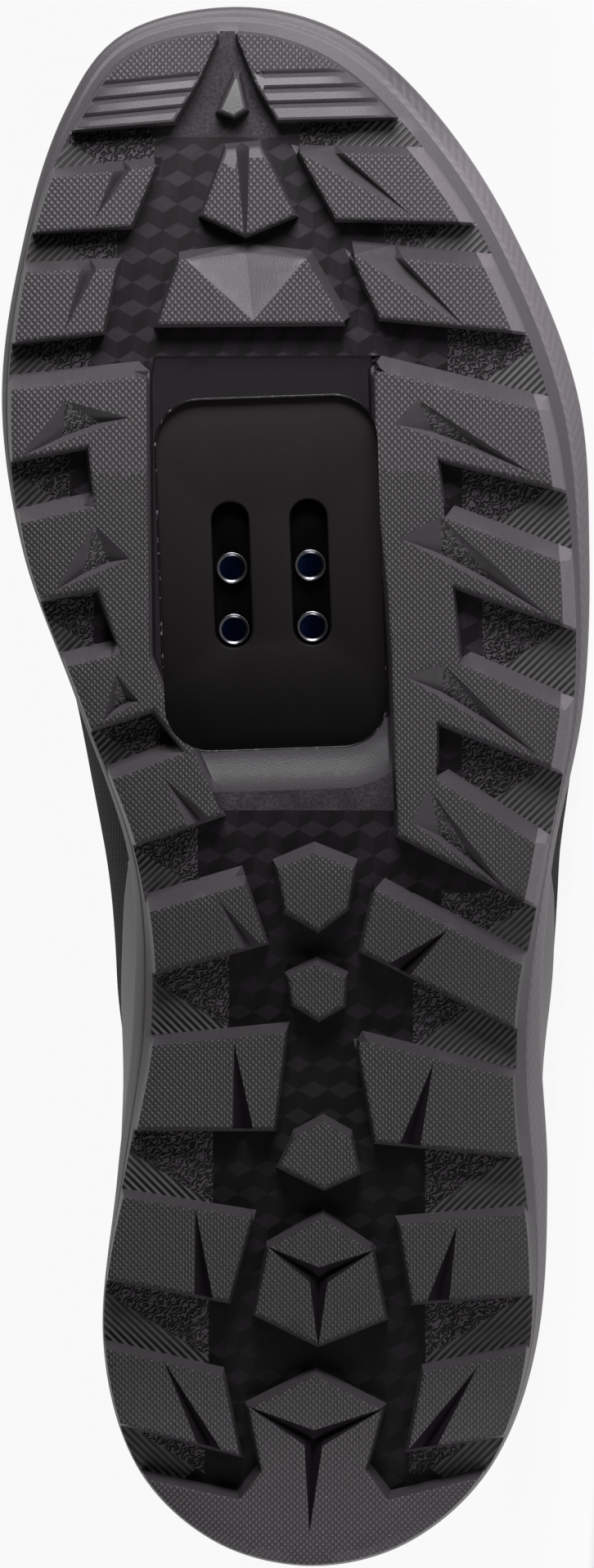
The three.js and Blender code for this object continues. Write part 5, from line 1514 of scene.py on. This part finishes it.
def punched_plate(outer, holes, low, high, rounding):
    """A flat plate with holes, its edges rounded: points and faces."""
    outer = counter_clockwise(outer)
    rings = [(outer, -1)] + [(counter_clockwise(hole), 1) for hole in holes]
    angles = np.linspace(0, math.pi / 2, 4)
    steps = [(rounding * (1 - math.sin(a)), low + rounding * (1 - math.cos(a))) for a in angles]
    steps += [(inset, high + low - z) for inset, z in steps[::-1]]
    points, faces, starts = [], [], []
    for line, way in rings:
        starts.append(len(points))
        for inset, z in steps:
            points.extend((*p, z) for p in widened(line, way * inset))
        quads = grid_faces(len(steps), len(line), wrap=True, start=starts[-1])
        faces.extend((quads if way < 0 else quads[:, ::-1]).tolist())
    ends = [np.array(points[start:start + len(line)])[:, :2] for start, (line, _) in zip(starts, rings)]
    plan, cap, origins = triangulate([(end, True) for end in ends])
    cap = facing_up(plan, cap)
    middles = plan[cap].mean(1)
    keep = inside(middles, ends[0])
    for end in ends[1:]:
        keep &= ~inside(middles, end)
    bottom = np.concatenate([start + np.arange(len(line)) for start, (line, _) in zip(starts, rings)])
    top = np.concatenate([start + (len(steps) - 1) * len(line) + np.arange(len(line))
                          for start, (line, _) in zip(starts, rings)])
    first = np.array([min(origin) for origin in origins])
    faces.extend(bottom[first[cap[keep]]][:, ::-1].tolist())
    faces.extend(top[first[cap[keep]]].tolist())
    return points, faces


def build_bead():
    """A thin glossy bead of rubber round the window, over the plate's edge."""
    line = at_cleat(rounded_rectangle(WINDOW_LENGTH, WINDOW_WIDTH, WINDOW_CORNER, 14))
    line = raised(widened(counter_clockwise(line), BEAD_OFFSET), POCKET_FLOOR + BEAD_OFFSET)
    ahead = unit(np.roll(line, -1, axis=0) - np.roll(line, 1, axis=0))
    out = np.stack([ahead[:, 1], -ahead[:, 0], 0 * ahead[:, 0]], -1)
    ring = circle(BEAD_RADIUS, BEAD_SIDES)
    rings = line[:, None] + out[:, None] * ring[None, :, :1] + np.array([0, 0, 1]) * ring[None, :, 1:]
    points = rings.reshape(-1, 3)
    faces = grid_faces(len(line) + 1, BEAD_SIDES, wrap=True) % len(points)
    glossy = material("moulded rubber, glossy edge", colour("channel"), paint_glints, 0.3, 0.02,
                      Specular_IOR_Level=0.15)
    return make_object("window_bead", points, outward(points, faces.tolist()), [glossy], sharp=80)


def paint_glints(tree, place):
    # Painted glints: a ragged line of bright specks along the edge, many times the rubber's tone
    glint_specks = speckle(tree, place, 1.1, 0, 1)
    return add(tree, "MapRange", {0: glint_specks, 1: 0.72, 2: 0.95, 3: 0.3, 4: 14}), glint_specks


def paint_plate(tree, place):
    """Satin nylon with painted light: paler towards the toe and darker towards the heel."""
    tone, grain = paint_smooth(tree, place)
    return layered(tree, tone, along_tone(tree, place, 146, 202, 0.25, 2.9)), grain


def build_cleat_plate():
    """The nylon plate in the window, with its two long slots."""
    length, width = WINDOW_LENGTH + 2 * PLATE_SEAT, WINDOW_WIDTH + 2 * PLATE_SEAT
    outer = at_cleat(rounded_rectangle(length, width, WINDOW_CORNER + PLATE_SEAT))
    slot = rounded_rectangle(SLOT_LENGTH, SLOT_WIDTH, SLOT_WIDTH / 2 - 0.01, 8)
    slots = [at_cleat(slot, 0, side * SLOT_SPACING / 2) for side in (1, -1)]
    points, faces = punched_plate(outer, slots, PLATE_RECESS, PLATE_RECESS + PLATE_THICKNESS,
                                  PLATE_ROUNDING)
    moulded = material("glass-filled nylon, moulded satin", colour("plate"), paint_plate, 0.35, 0.006,
                       Specular_IOR_Level=0.12)
    return make_object("cleat_plate_nylon", points, faces, [moulded], sharp=30)


def lathe(profile, sides, centre):
    """A closed profile of radius and height turned about an upright axis."""
    rings = np.concatenate([raised(circle(radius, sides) + centre, z) for radius, z in profile])
    faces = grid_faces(len(profile) + 1, sides, wrap=True) % len(rings)
    return rings, outward(rings, faces.tolist())


def build_nuts():
    """The steel strip behind the plate, with a threaded barrel at each of its four holes."""
    low = PLATE_RECESS + PLATE_THICKNESS + GAP
    centres = [at_cleat([(0, 0)], NUT_SHIFT + row * NUT_ROW_SPACING / 2, side * SLOT_SPACING / 2)[0]
               for side in (1, -1) for row in (1, -1)]
    outline = at_cleat(rounded_rectangle(NUT_LENGTH, SLOT_SPACING + 8, 4), NUT_SHIFT)
    holes = [circle(THREAD_BORE / 2, NUT_SIDES) + centre for centre in centres]
    points, faces = punched_plate(outline, holes, low, low + NUT_THICKNESS, 0.2)
    strip_count = len(faces)
    start, top = PLATE_RECESS + 1, low + 0.3
    outer, bore = BARREL_DIAMETER / 2, THREAD_BORE / 2
    profile = [(bore + out, start + up) for out, up in FLANGE]
    profile += [(outer + out, start + up) for out, up in FLANGE_EDGE] + [(outer, top)]
    for i in range(THREAD_TURNS):
        crest = top - i * THREAD_PITCH
        profile += [(bore + THREAD_DEPTH, crest), (bore, crest - 0.4 * THREAD_PITCH),
                    (bore, crest - 0.6 * THREAD_PITCH)]
    for centre in centres:
        ring, quads = lathe(profile, NUT_SIDES, centre)
        faces += [[i + len(points) for i in face] for face in quads]
        points += [tuple(p) for p in ring]
    looks = np.where(np.arange(len(faces)) < strip_count, 1, 0)
    turned = material("carbon steel, turned and plated", colour("steel"), paint_steel, 0.26, 0.004,
                      Metallic=1)
    # The strip is near black as painted shade, so that the slots look dark
    painted = material("carbon steel, painted black", colour("channel", 0.06), paint_smooth, 0.4, 0.004,
                       Specular_IOR_Level=0.05)
    return make_object("cleat_nuts_steel", points, faces, [turned, painted], looks, sharp=35)


def paint_steel(tree, place):
    # Fine turning marks, drawn ten times as coarse as they are so that they show
    marks = add(tree, "TexNoise", {"Vector": place, "Scale": 6, "Detail": 2})
    return speckle(tree, place, 1.5, 0.8, 1.15), marks


# ---- Pieces that follow the last ----

UPPER_COLUMNS = 360
UPPER_ROWS = 36

# Only points higher than this lie on the top of the foot
OVER_FOOT = 30


def open_at(points):
    """Whether points of the last lie in the collar's or the throat's opening."""
    x, y, z = points[..., 0], points[..., 1], points[..., 2]
    line = collar_line()
    over = (x <= line[-1, 0]) & (z > np.interp(x, line[:, 0], line[:, 1]))
    along = x / SOLE_LENGTH
    near = np.abs(y - BALL_WIDTH * follow(LAST, SHIFT, along)) < throat_half(along)
    slot = near & (along >= THROAT[0][0]) & (along <= THROAT[-1][0]) & (z > OVER_FOOT)
    return over | slot


def rise_limit(loop):
    """How far the upper rises at each place on the loop: to the collar, the throat, or the ridge."""
    steps = np.linspace(0.1, 1, 181)
    points = last_point(loop[:, None], steps[None])
    cut = open_at(points)
    first = np.where(cut.any(1), cut.argmax(1), len(steps) - 1)
    low, high = steps[np.maximum(first - 1, 0)], steps[first]
    for _ in range(16):
        middle = (low + high) / 2
        is_open = open_at(last_point(loop, middle))
        low, high = np.where(is_open, low, middle), np.where(is_open, middle, high)
    return np.where(cut.any(1), low, 1)


def upper_limits():
    """Loops round the upper and each one's limit, the same at both sides where they meet."""
    loop = 2 * np.arange(UPPER_COLUMNS) / UPPER_COLUMNS
    limit = rise_limit(loop)
    mirrored = limit[(-np.arange(UPPER_COLUMNS)) % UPPER_COLUMNS]
    return loop, np.where((limit >= 1) & (mirrored < 1), 0.996, limit)


def crease(loop, rise):
    """Soft troughs across the vamp where the toes bend, in millimetres below the surface."""
    along = last_point(loop, rise)[..., 0] / SOLE_LENGTH
    over = np.clip((rise - 0.3) / 0.3, 0, 1)
    side, _ = unloop(loop)
    dip = 0
    for place, lean, deep, wide in CREASES:
        across = (1 - rise) * side * lean
        dip = dip + deep * np.exp(-((along - place - across) / wide) ** 2)
    return dip * over


def build_upper():
    """The hollow upper: coarse mesh outside, lining inside, open at the collar, throat and sole."""
    loop, limit = upper_limits()
    wall = mm("upper_wall")
    share = np.linspace(0, 1, UPPER_ROWS)
    rise = share[:, None] * limit[None]
    loops = np.broadcast_to(loop, rise.shape)
    dip = -crease(loops, rise)
    outer = shell_point(loops, rise, dip)
    inner = shell_point(loops, rise, dip - wall)
    foot = footbed_height(along_of(loops))
    inner[0, :, 2] = foot[0]
    inner[..., 2] = np.maximum(inner[..., 2], foot)
    count = UPPER_ROWS * UPPER_COLUMNS
    points = np.concatenate([outer.reshape(-1, 3), inner.reshape(-1, 3)])
    outer_faces = grid_faces(UPPER_ROWS, UPPER_COLUMNS, wrap=True)
    inner_faces = outer_faces[:, ::-1] + count
    bottom = np.arange(UPPER_COLUMNS)
    ahead = (bottom + 1) % UPPER_COLUMNS
    sill = np.stack([bottom + count, ahead + count, ahead, bottom], -1)
    top = bottom + (UPPER_ROWS - 1) * UPPER_COLUMNS
    top_ahead = ahead + (UPPER_ROWS - 1) * UPPER_COLUMNS
    is_open = (limit < 1) | (limit[ahead] < 1)
    lip = np.stack([top, top_ahead, top_ahead + count, top + count], -1)[is_open]
    twin = np.arange(len(points))
    closed = np.flatnonzero((limit >= 1) & (bottom > UPPER_COLUMNS // 2))
    for side in (0, count):
        base = side + (UPPER_ROWS - 1) * UPPER_COLUMNS
        twin[base + closed] = base + UPPER_COLUMNS - closed
    faces = np.concatenate([outer_faces, inner_faces, sill, lip])
    looks = np.concatenate([np.zeros(len(outer_faces)), np.ones(len(inner_faces)),
                            np.ones(len(sill)), np.zeros(len(lip))]).astype(int)
    up = travel(outer)
    around = travel(rim_point(loop))
    flat = np.stack([np.broadcast_to(around, up.shape), up], -1).reshape(-1, 2)
    corners = np.concatenate([flat, flat])[faces]
    column = faces % UPPER_COLUMNS
    wrapped = (column == 0) & (column.max(1) == UPPER_COLUMNS - 1)[:, None]
    corners[..., 0] += wrapped * (around[-1] + 0.5)
    kept = [(list(dict.fromkeys(face)), i) for i, face in enumerate(twin[faces].tolist())]
    kept = [(face, i) for face, i in kept if len(face) > 2]
    flat = np.concatenate([corners[i][:len(face)] for face, i in kept])
    looks = [looks[i] for _, i in kept]
    points, listed = drop_unused(points, [face for face, _ in kept])
    woven = material("polyester mesh, coarse woven", colour("mesh"), paint_mesh, 0.75, 0.35,
                     Specular_IOR_Level=0.1)
    return make_object("upper_cloth", points, listed, [woven, lining_material()], looks, flat, sharp=50)


def drop_unused(points, faces):
    """The points that faces use, and the faces that name them."""
    used = sorted({i for face in faces for i in face})
    index = {old: new for new, old in enumerate(used)}
    return np.asarray(points)[used], [[index[i] for i in face] for face in faces]


def paint_mesh(tree, place):
    # A coarse spacer mesh: rounded holes in staggered rows, 2 mm apart, the hollows painted darker as
    # shade
    a, b = (add(tree, "Math", {0: wave(tree, place, way, 2), 1: 0.5}, operation="SUBTRACT")
            for way in ((0, 1), (1, 0)))
    cells = add(tree, "Math", {0: layered(tree, a, b), 1: 2, 2: 0.5}, operation="MULTIPLY_ADD")
    threads = wave(tree, place, (DIAGONAL, DIAGONAL), 0.45)
    height = add(tree, "Math", {0: threads, 1: 0.2, 2: cells}, operation="MULTIPLY_ADD")
    tone = add(tree, "MapRange", {0: height, 3: 0.4, 4: 1.3})
    return layered(tree, tone, speckle(tree, place, 0.8, 0.85, 1.15)), height


def paint_knit(tree, place):
    # Ribbed knit, its loops 0.9 mm apart, with painted shade between them
    height = layered(tree, wave(tree, place, (1, 0), 0.9), wave(tree, place, (0, 1), 0.7))
    tone = add(tree, "MapRange", {0: height, 3: 0.7, 4: 1.2})
    return layered(tree, tone, speckle(tree, place, 1.5, 0.88, 1.12)), height


def paint_film(tree, place):
    # A faint leather-like grain pressed into the film
    cells = add(tree, "TexVoronoi", {"Vector": place, "Scale": 1.6}, feature="SMOOTH_F1")
    return speckle(tree, place, 3, 0.93, 1.07), cells


def lining_material():
    return material("polyester knit, brushed", colour("lining"), paint_knit, 0.9, 0.15, Sheen_Weight=0.4)


def film_material():
    return material("polyurethane film, hot-pressed", colour("film"), paint_film, 0.5, 0.03)


def closed_strip(rings, name, cover):
    """A closed solid of one material through rings of points, its ends capped by fans."""
    rings = np.asarray(rings, float)
    count, sides = rings.shape[:2]
    points = rings.reshape(-1, 3)
    middles = np.stack([rings[0].mean(0), rings[-1].mean(0)])
    faces = grid_faces(count, sides, wrap=True).tolist()
    first, last = len(points), len(points) + 1
    for i in range(sides):
        j = (i + 1) % sides
        faces.append([first, j, i])
        faces.append([last, (count - 1) * sides + i, (count - 1) * sides + j])
    points = np.concatenate([points, middles])
    flat = lengthwise_map(rings, travel(rings[count // 2]))
    flat = np.concatenate([flat, flat[[0, -1]]])
    return make_object(name, points, outward(points, faces), [cover], None, flat, sharp=50)


def lengthwise_map(rings, around):
    """Each point's place in millimetres on the pattern's map: along the rings, then around them."""
    return np.stack(np.meshgrid(travel(rings).mean(1), around, indexing="ij"), -1).reshape(-1, 2)


def overlay(name, steps, rows, face_at):
    """A thin panel bonded on the upper, its edges pressed down: face_at gives a ring's points from
    its low edge to its high edge at an offset from the last."""
    thick = mm("overlay")
    share = np.linspace(0, 1, rows)
    edge = np.minimum(1, np.minimum(share, 1 - share) * rows / 1.5)
    rings = []
    for t in np.linspace(0, 1, steps):
        press = min(1, min(t, 1 - t) * steps / 1.5)
        outer = GAP / 2 + thick * (0.35 + 0.65 * edge * press)
        inner = np.full(rows, GAP / 3)
        rings.append(np.concatenate([face_at(t, share, inner), face_at(t, share, outer)[::-1]]))
    return closed_strip(rings, name, film_material())


def lip_band(name, table, loop_from, loop_to, steps):
    """A band round the heel or toe, standing on the sole's lip and rising as its table says."""
    def face_at(t, share, offset):
        loop = np.full(len(share), loop_from + (loop_to - loop_from) * t)
        along = along_of(loop)
        low = rise_at_height(loop, 0.7 * lip_height(along))
        high = np.maximum(follow(table, 1, along), low + 0.02)
        return shell_point(loop, low + (high - low) * share, offset)
    return overlay(name, steps, 14, face_at)


def build_toe_cap():
    half = 1 - turn(TOE_CAP[0][0])
    return lip_band("toe_cap_film", TOE_CAP, 1 - half, 1 + half, 90)


def build_heel_counter():
    half = turn(HEEL_COUNTER[-1][0])
    return lip_band("heel_counter_film", HEEL_COUNTER, -half, half, 140)


# The eyestay's rear, where its arc starts and the first and last eyelet, as shares of the length, then
# how far the eyelets stand from the throat's edge
EYESTAY_REAR = 0.39
THROAT_ARC = 0.645
FIRST_EYELET = 0.625
LAST_EYELET = 0.44
EYELET_MARGIN = 6.5

# The tongue's ends are each round over this part of its length. In millimetres: what the pads clear
# the upper by, then how far under the collar's edge its roll lies and how far up and down it reaches.
# Last, how many columns of points the roll's ends take to fade.
TONGUE_ENDS = 1 / 18
TONGUE_CLEARANCE = 0.8
COLLAR_CLEARANCE = 0.15
ROLL_CENTRE = 12
ROLL_REACH = 14
ROLL_ENDS = 6


def build_eyestay():
    """The U-shaped panel round the throat: two arms joined by an arc at the front."""
    arc_share = 0.25
    front = THROAT[-1][0] - THROAT_ARC
    line = collar_line()

    def edge_point(t, reach, margin):
        side = np.sign(t - 0.5)
        s = abs(2 * t - 1)
        turned = min(s / arc_share, 1) * math.pi / 2
        back = max(0, (s - arc_share) / (1 - arc_share))
        along = THROAT_ARC + (EYESTAY_REAR - THROAT_ARC) * back + reach * math.cos(turned)
        half = throat_half(min(along, THROAT_ARC)) + margin
        return np.array([along, side * half * math.sin(turned)])

    def face_at(t, share, offset):
        inner = edge_point(t, front, 0)
        outer = edge_point(t, front + EYESTAY_WIDTH / SOLE_LENGTH / 2, EYESTAY_WIDTH)
        place = inner + (outer - inner) * share[:, None]
        points = top_point(place[:, 0], place[:, 1], offset)
        x, z = points[:, 0], points[:, 2]
        points[:, 2] = np.where(x < line[-1, 0], np.minimum(z, np.interp(x, line[:, 0], line[:, 1])), z)
        return points
    return overlay("eyestay_film", 120, 12, face_at)


def eyelet(row, side):
    """Where an eyelet stands: its share along and its distance from the ridge."""
    along = FIRST_EYELET + (LAST_EYELET - FIRST_EYELET) * row / (EYELET_ROWS - 1)
    return along, side * (throat_half(along) + EYELET_MARGIN)


def build_tongue():
    """The padded tongue: a crowned pad with a rounded edge."""
    rings = []
    angles = np.linspace(0, 2 * math.pi, 40, endpoint=False)
    out = np.sign(np.cos(angles)) * np.abs(np.cos(angles)) ** 0.7
    up = np.sign(np.sin(angles)) * np.abs(np.sin(angles)) ** 0.8
    for span in np.linspace(0, 1, 70):
        along = TONGUE[0][0] + (TONGUE[-1][0] - TONGUE[0][0]) * span
        rear, front = (math.sqrt(1 - max(0, 1 - near / TONGUE_ENDS) ** 2) for near in (span, 1 - span))
        end = rear * front
        thick = between(TONGUE, 1, along) * TONGUE_THICKNESS * max(end, 0.15)
        wide = between(TONGUE, 2, along) * TONGUE_HALF_WIDTH * (0.75 + 0.25 * end)
        depth = thick / 2 * (1 - up)
        rings.append(top_point(along, out * wide, -mm("upper_wall") - TONGUE_CLEARANCE - depth))
    tongue = closed_strip(rings, "tongue_pad", lining_material())
    return tongue


def build_collar():
    """A foam roll inside the collar, thickest a little under the edge, covered with lining."""
    loop, limit = upper_limits()
    front = THROAT[0][0] + 0.06
    points = last_point(loop, limit)
    is_collar = points[:, 0] < front * SOLE_LENGTH
    order = np.roll(np.arange(UPPER_COLUMNS), UPPER_COLUMNS // 2)
    order = order[is_collar[order]]
    loop, limit = loop[order], limit[order]
    size = mm("collar_padding")
    angles = np.linspace(0, 2 * math.pi, 24, endpoint=False)
    down = ROLL_CENTRE - ROLL_REACH * np.cos(angles)
    inwards = size * np.maximum(np.sin(angles), 0) * (1 - 0.25 * np.cos(angles))
    rings = []
    height = np.linalg.norm(last_point(loop, limit - 0.02) - last_point(loop, limit), axis=1) / 0.02
    for i in range(len(loop)):
        fade = 0.3 + 0.7 * min(1, min(i, len(loop) - 1 - i) / ROLL_ENDS)
        offset = -mm("upper_wall") - COLLAR_CLEARANCE - inwards * fade
        rings.append(shell_point(np.full(len(down), loop[i]), limit[i] - down / height[i], offset))
    collar = closed_strip(rings, "collar_pad", lining_material())
    return collar


def build_insole():
    """The footbed: blue cloth over foam, dished in the middle."""
    across = np.linspace(-1, 1, 21)
    edge = np.abs(across)
    rise = INSOLE_THICKNESS * (0.72 + 0.28 * edge ** 3) * (1 - 0.6 * np.maximum(0, edge - 0.9) / 0.1)
    rings = []
    for share in np.linspace(0.001, 0.999, 120):
        offset = -mm("upper_wall") - 2 * GAP
        lateral, medial = shell_point(np.array([share, 2 - share]), np.zeros(2), offset)[:, :2]
        foot = footbed_height((1 - math.cos(math.pi * share)) / 2)
        plan = (lateral + medial) / 2 + (lateral - medial) / 2 * across[:, None]
        rings.append(np.concatenate([raised(plan, foot + rise), raised(plan[::-1], foot)]))
    cloth = material("polyester cloth over foam", colour("insole"), paint_knit, 0.9, 0.1,
                     Sheen_Weight=0.3)
    return closed_strip(rings, "insole_cloth", cloth)


def tube(path, radius, sides=16):
    """Rings round a smooth path."""
    path = np.asarray(path, float)
    tangents = unit(np.gradient(path, axis=0))
    across = unit(np.cross(np.broadcast_to((1, 0.2, 0.1), path.shape), tangents))
    up = np.cross(tangents, across)
    ring = circle(1, sides)
    out = across[:, None] * ring[None, :, :1] + up[:, None] * ring[None, :, 1:]
    return path[:, None] + out * radius


def paint_braid(tree, place):
    # A braid of strands 0.8 mm wide that cross at 45 degrees, painted lighter on top and darker between
    # as light and shade
    a = wave(tree, place, (DIAGONAL, DIAGONAL), 0.8)
    b = wave(tree, place, (DIAGONAL, -DIAGONAL), 0.8)
    over = add(tree, "Math", {0: a, 1: b}, operation="MAXIMUM")
    return add(tree, "MapRange", {0: over, 3: 0.6, 4: 1.25}), over


def build_lace():
    """The lace's crossings, each end running down through its eyelet."""
    radius = mm("lace_diameter") / 2
    base = mm("overlay") + 2.5 * GAP + radius
    points, faces, flat = [], [], []

    def strand(row_from, row_to, side, over):
        start, end = eyelet(row_from, side), eyelet(row_to, -side)
        t = np.linspace(0, 1, 33)
        eased = t * t * (3 - 2 * t)
        crossing = np.sin(np.pi * t)
        dive = np.clip((0.12 - np.minimum(t, 1 - t)) / 0.12, 0, 1) ** 2
        lift = base + over * radius * 0.95 * crossing ** 2 - dive * (base + mm("upper_wall") + 1)
        along = start[0] + (end[0] - start[0]) * t
        width = start[1] + (end[1] - start[1]) * (0.35 * eased + 0.65 * t)
        rings = tube(top_point(along, width, lift), radius)
        quads = grid_faces(len(rings), rings.shape[1], wrap=True)
        offset = len(points)
        corners = rings.reshape(-1, 3)
        listed = quads.tolist() + [list(range(rings.shape[1]))[::-1],
                                   list(range(len(corners) - rings.shape[1], len(corners)))]
        faces.extend([[i + offset for i in face] for face in outward(corners, listed)])
        points.extend(map(tuple, corners))
        turned = np.linspace(0, 2 * math.pi * radius, rings.shape[1], endpoint=False)
        flat.extend(lengthwise_map(rings, turned))

    strand(0, 0, 1, 0)
    for row in range(EYELET_ROWS - 1):
        strand(row, row + 1, 1, 0.5)
        strand(row, row + 1, -1, -0.5)
    woven = material("polyester cord, braided", colour("lace"), paint_braid, 0.8, 0.2, Sheen_Weight=0.3)
    return make_object("lace_cord", points, faces, [woven], None, flat, sharp=60)


# ---- Operators ----

class SHOE_OT_stage(bpy.types.Operator):
    """Adds the camera, the floor, the soft lights and the dark room with its white backdrop"""
    bl_idname = "shoe.stage"
    bl_label = "Stage"

    def execute(self, context):
        add_camera(context.scene)
        add_floor()
        add_lights()
        add_room(context.scene)
        return {"FINISHED"}


def add_camera(scene):
    """Looks square at the tread with the toe up, rolled with the shoe as it lies."""
    turned = TO_ROW.to_3x3().normalized()
    along, across, up = turned.col[0], turned.col[1], turned.col[2]
    data = bpy.data.cameras.new("camera")
    data.sensor_width = SENSOR_WIDTH
    data.lens = SENSOR_WIDTH * VIEW_DISTANCE / VIEW_HEIGHT
    data.clip_end = DRAWING_END
    camera = bpy.data.objects.new("camera", data)
    basis = Matrix((across, along, -up)).transposed()
    target = TO_ROW @ Vector(VIEW_CENTRE)
    camera.matrix_world = Matrix.Translation(target - up * VIEW_DISTANCE / 1000) @ basis.to_4x4()
    scene.collection.objects.link(camera)
    scene.camera = camera
    scene.view_settings.view_transform = "Standard"


FLOOR_SIZE = 30


def behind_tread(tree, place, low, high):
    """A strength that is high beyond the tread's face and low on the camera's side of it."""
    across = add(tree, "SeparateXYZ", {0: place}).node.outputs["Y"]
    return add(tree, "MapRange", {0: across, 1: low[0], 2: high[0], 3: low[1], 4: high[1]},
               interpolation_type="SMOOTHSTEP")


def add_floor():
    """A sheet of acrylic, lit from below behind the tread and left grey in front of it."""
    mesh = bpy.data.meshes.new("floor")
    half = FLOOR_SIZE / 2
    corners = [(-half, -half, 0), (half, -half, 0), (half, half, 0), (-half, half, 0)]
    mesh.from_pydata(corners, [], [(0, 1, 2, 3)])
    made = bpy.data.materials.new("opal acrylic, lit from below")
    made.use_nodes = True
    tree = made.node_tree
    shader = tree.nodes["Principled BSDF"]
    shader.inputs["Base Color"].default_value = (0.04, 0.04, 0.04, 1)
    shader.inputs["Roughness"].default_value = 0.9
    shader.inputs["Specular IOR Level"].default_value = 0
    shader.inputs["Emission Color"].default_value = (*colour("floor"), 1)
    place = add(tree, "TexCoord").node.outputs["Object"]
    glow = behind_tread(tree, place, (-0.24, 0.08), (-0.165, 0.97))
    tree.links.new(glow, shader.inputs["Emission Strength"])
    mesh.materials.append(made)
    floor = bpy.data.objects.new("floor", mesh)
    bpy.context.scene.collection.objects.link(floor)


def add_lights():
    """A soft light low over the toe rakes the tread, and a weaker one at the heel meets it. Each row
    has offset in metres, power and size."""
    target = TO_ROW @ Vector(VIEW_CENTRE)
    for name, offset, power, size in (
        ("toe_light", (0.36, -0.25, 0.03), 4.4, 0.2),
        ("heel_light", (-0.36, -0.24, 0), 1.4, 0.2),
    ):
        data = bpy.data.lights.new(name, "AREA")
        data.energy, data.size = power, size
        light = bpy.data.objects.new(name, data)
        light.location = target + Vector(offset)
        light.rotation_euler = (target - light.location).to_track_quat("-Z", "Y").to_euler()
        bpy.context.scene.collection.objects.link(light)


def add_room(scene):
    """A white backdrop beyond the shoe; the half of the room behind the camera is dark."""
    world = bpy.data.worlds.new("white backdrop in a dark room")
    world.use_nodes = True
    tree = world.node_tree
    place = add(tree, "TexCoord").node.outputs["Generated"]
    background = tree.nodes["Background"]
    background.inputs["Color"].default_value = (*colour("floor"), 1)
    tree.links.new(behind_tread(tree, place, (0.1, 0.06), (0.35, 0.98)), background.inputs["Strength"])
    scene.world = world


class SHOE_OT_outsole(bpy.types.Operator):
    """Builds the rubber outsole with its lugs, cuts and side band"""
    bl_idname = "shoe.outsole"
    bl_label = "Outsole"

    def execute(self, context):
        place_piece(build_outsole(), "rubber", "outsole")
        return {"FINISHED"}


class SHOE_OT_cleat_mount(bpy.types.Operator):
    """Builds the slotted plate and the glossy bead round its window"""
    bl_idname = "shoe.cleat_mount"
    bl_label = "Cleat Mount"

    def execute(self, context):
        place_piece(build_cleat_plate(), "cleat_plate", "cleat_plate")
        place_piece(build_bead(), "rubber")
        return {"FINISHED"}


class SHOE_OT_nuts(bpy.types.Operator):
    """Builds the steel strip with its threaded barrels"""
    bl_idname = "shoe.nuts"
    bl_label = "Cleat Nuts"

    def execute(self, context):
        place_piece(build_nuts(), "steel", "cleat_nut_plate")
        return {"FINISHED"}


class SHOE_OT_insole(bpy.types.Operator):
    """Builds the dished insole"""
    bl_idname = "shoe.insole"
    bl_label = "Insole"

    def execute(self, context):
        place_piece(build_insole(), "insole_foam", "insole")
        return {"FINISHED"}


class SHOE_OT_upper(bpy.types.Operator):
    """Builds the mesh upper and its lining"""
    bl_idname = "shoe.upper"
    bl_label = "Upper"

    def execute(self, context):
        place_piece(build_upper(), "upper_mesh", "upper")
        return {"FINISHED"}


class SHOE_OT_collar(bpy.types.Operator):
    """Builds the padded collar roll"""
    bl_idname = "shoe.collar"
    bl_label = "Collar"

    def execute(self, context):
        place_piece(build_collar(), "lining")
        return {"FINISHED"}


class SHOE_OT_panels(bpy.types.Operator):
    """Builds the film panels round the toe, the heel and the throat"""
    bl_idname = "shoe.panels"
    bl_label = "Panels"

    def execute(self, context):
        place_piece(build_toe_cap(), "film", "toe_cap")
        place_piece(build_heel_counter(), "film", "heel_counter")
        place_piece(build_eyestay(), "film", "eyestay")
        return {"FINISHED"}


class SHOE_OT_tongue(bpy.types.Operator):
    """Builds the padded tongue"""
    bl_idname = "shoe.tongue"
    bl_label = "Tongue"

    def execute(self, context):
        place_piece(build_tongue(), "lining", "tongue")
        return {"FINISHED"}


class SHOE_OT_lace(bpy.types.Operator):
    """Builds the lace through its eyelets"""
    bl_idname = "shoe.lace"
    bl_label = "Lace"

    def execute(self, context):
        place_piece(build_lace(), "cord", "lace")
        return {"FINISHED"}


OPERATORS = (
    SHOE_OT_stage, SHOE_OT_outsole, SHOE_OT_cleat_mount, SHOE_OT_nuts, SHOE_OT_insole,
    SHOE_OT_upper, SHOE_OT_collar, SHOE_OT_panels, SHOE_OT_tongue, SHOE_OT_lace,
)


class SHOE_PT_panel(bpy.types.Panel):
    """Lists the shoe's pieces"""
    bl_label = "Cycling Shoe"
    bl_idname = "SHOE_PT_panel"
    bl_space_type = "VIEW_3D"
    bl_region_type = "UI"
    bl_category = "Shoe"

    def draw(self, context):
        for group in (context.scene.shoe_sizes, context.scene.shoe_colours):
            column = self.layout.column(align=True)
            for name in group.bl_rna.properties.keys():
                if name not in ("rna_type", "name"):
                    column.prop(group, name)
        for operator in OPERATORS:
            self.layout.operator(operator.bl_idname)


CLASSES = (ShoeSizes, ShoeColours, *OPERATORS, SHOE_PT_panel)


def register():
    for made in CLASSES:
        bpy.utils.register_class(made)
    bpy.types.Scene.shoe_sizes = PointerProperty(type=ShoeSizes)
    bpy.types.Scene.shoe_colours = PointerProperty(type=ShoeColours)


def unregister():
    del bpy.types.Scene.shoe_colours
    del bpy.types.Scene.shoe_sizes
    for made in reversed(CLASSES):
        bpy.utils.unregister_class(made)


def main():
    register()
    for operator in OPERATORS:
        group, name = operator.bl_idname.split(".")
        getattr(getattr(bpy.ops, group), name)()


if __name__ == "__main__":
    main()
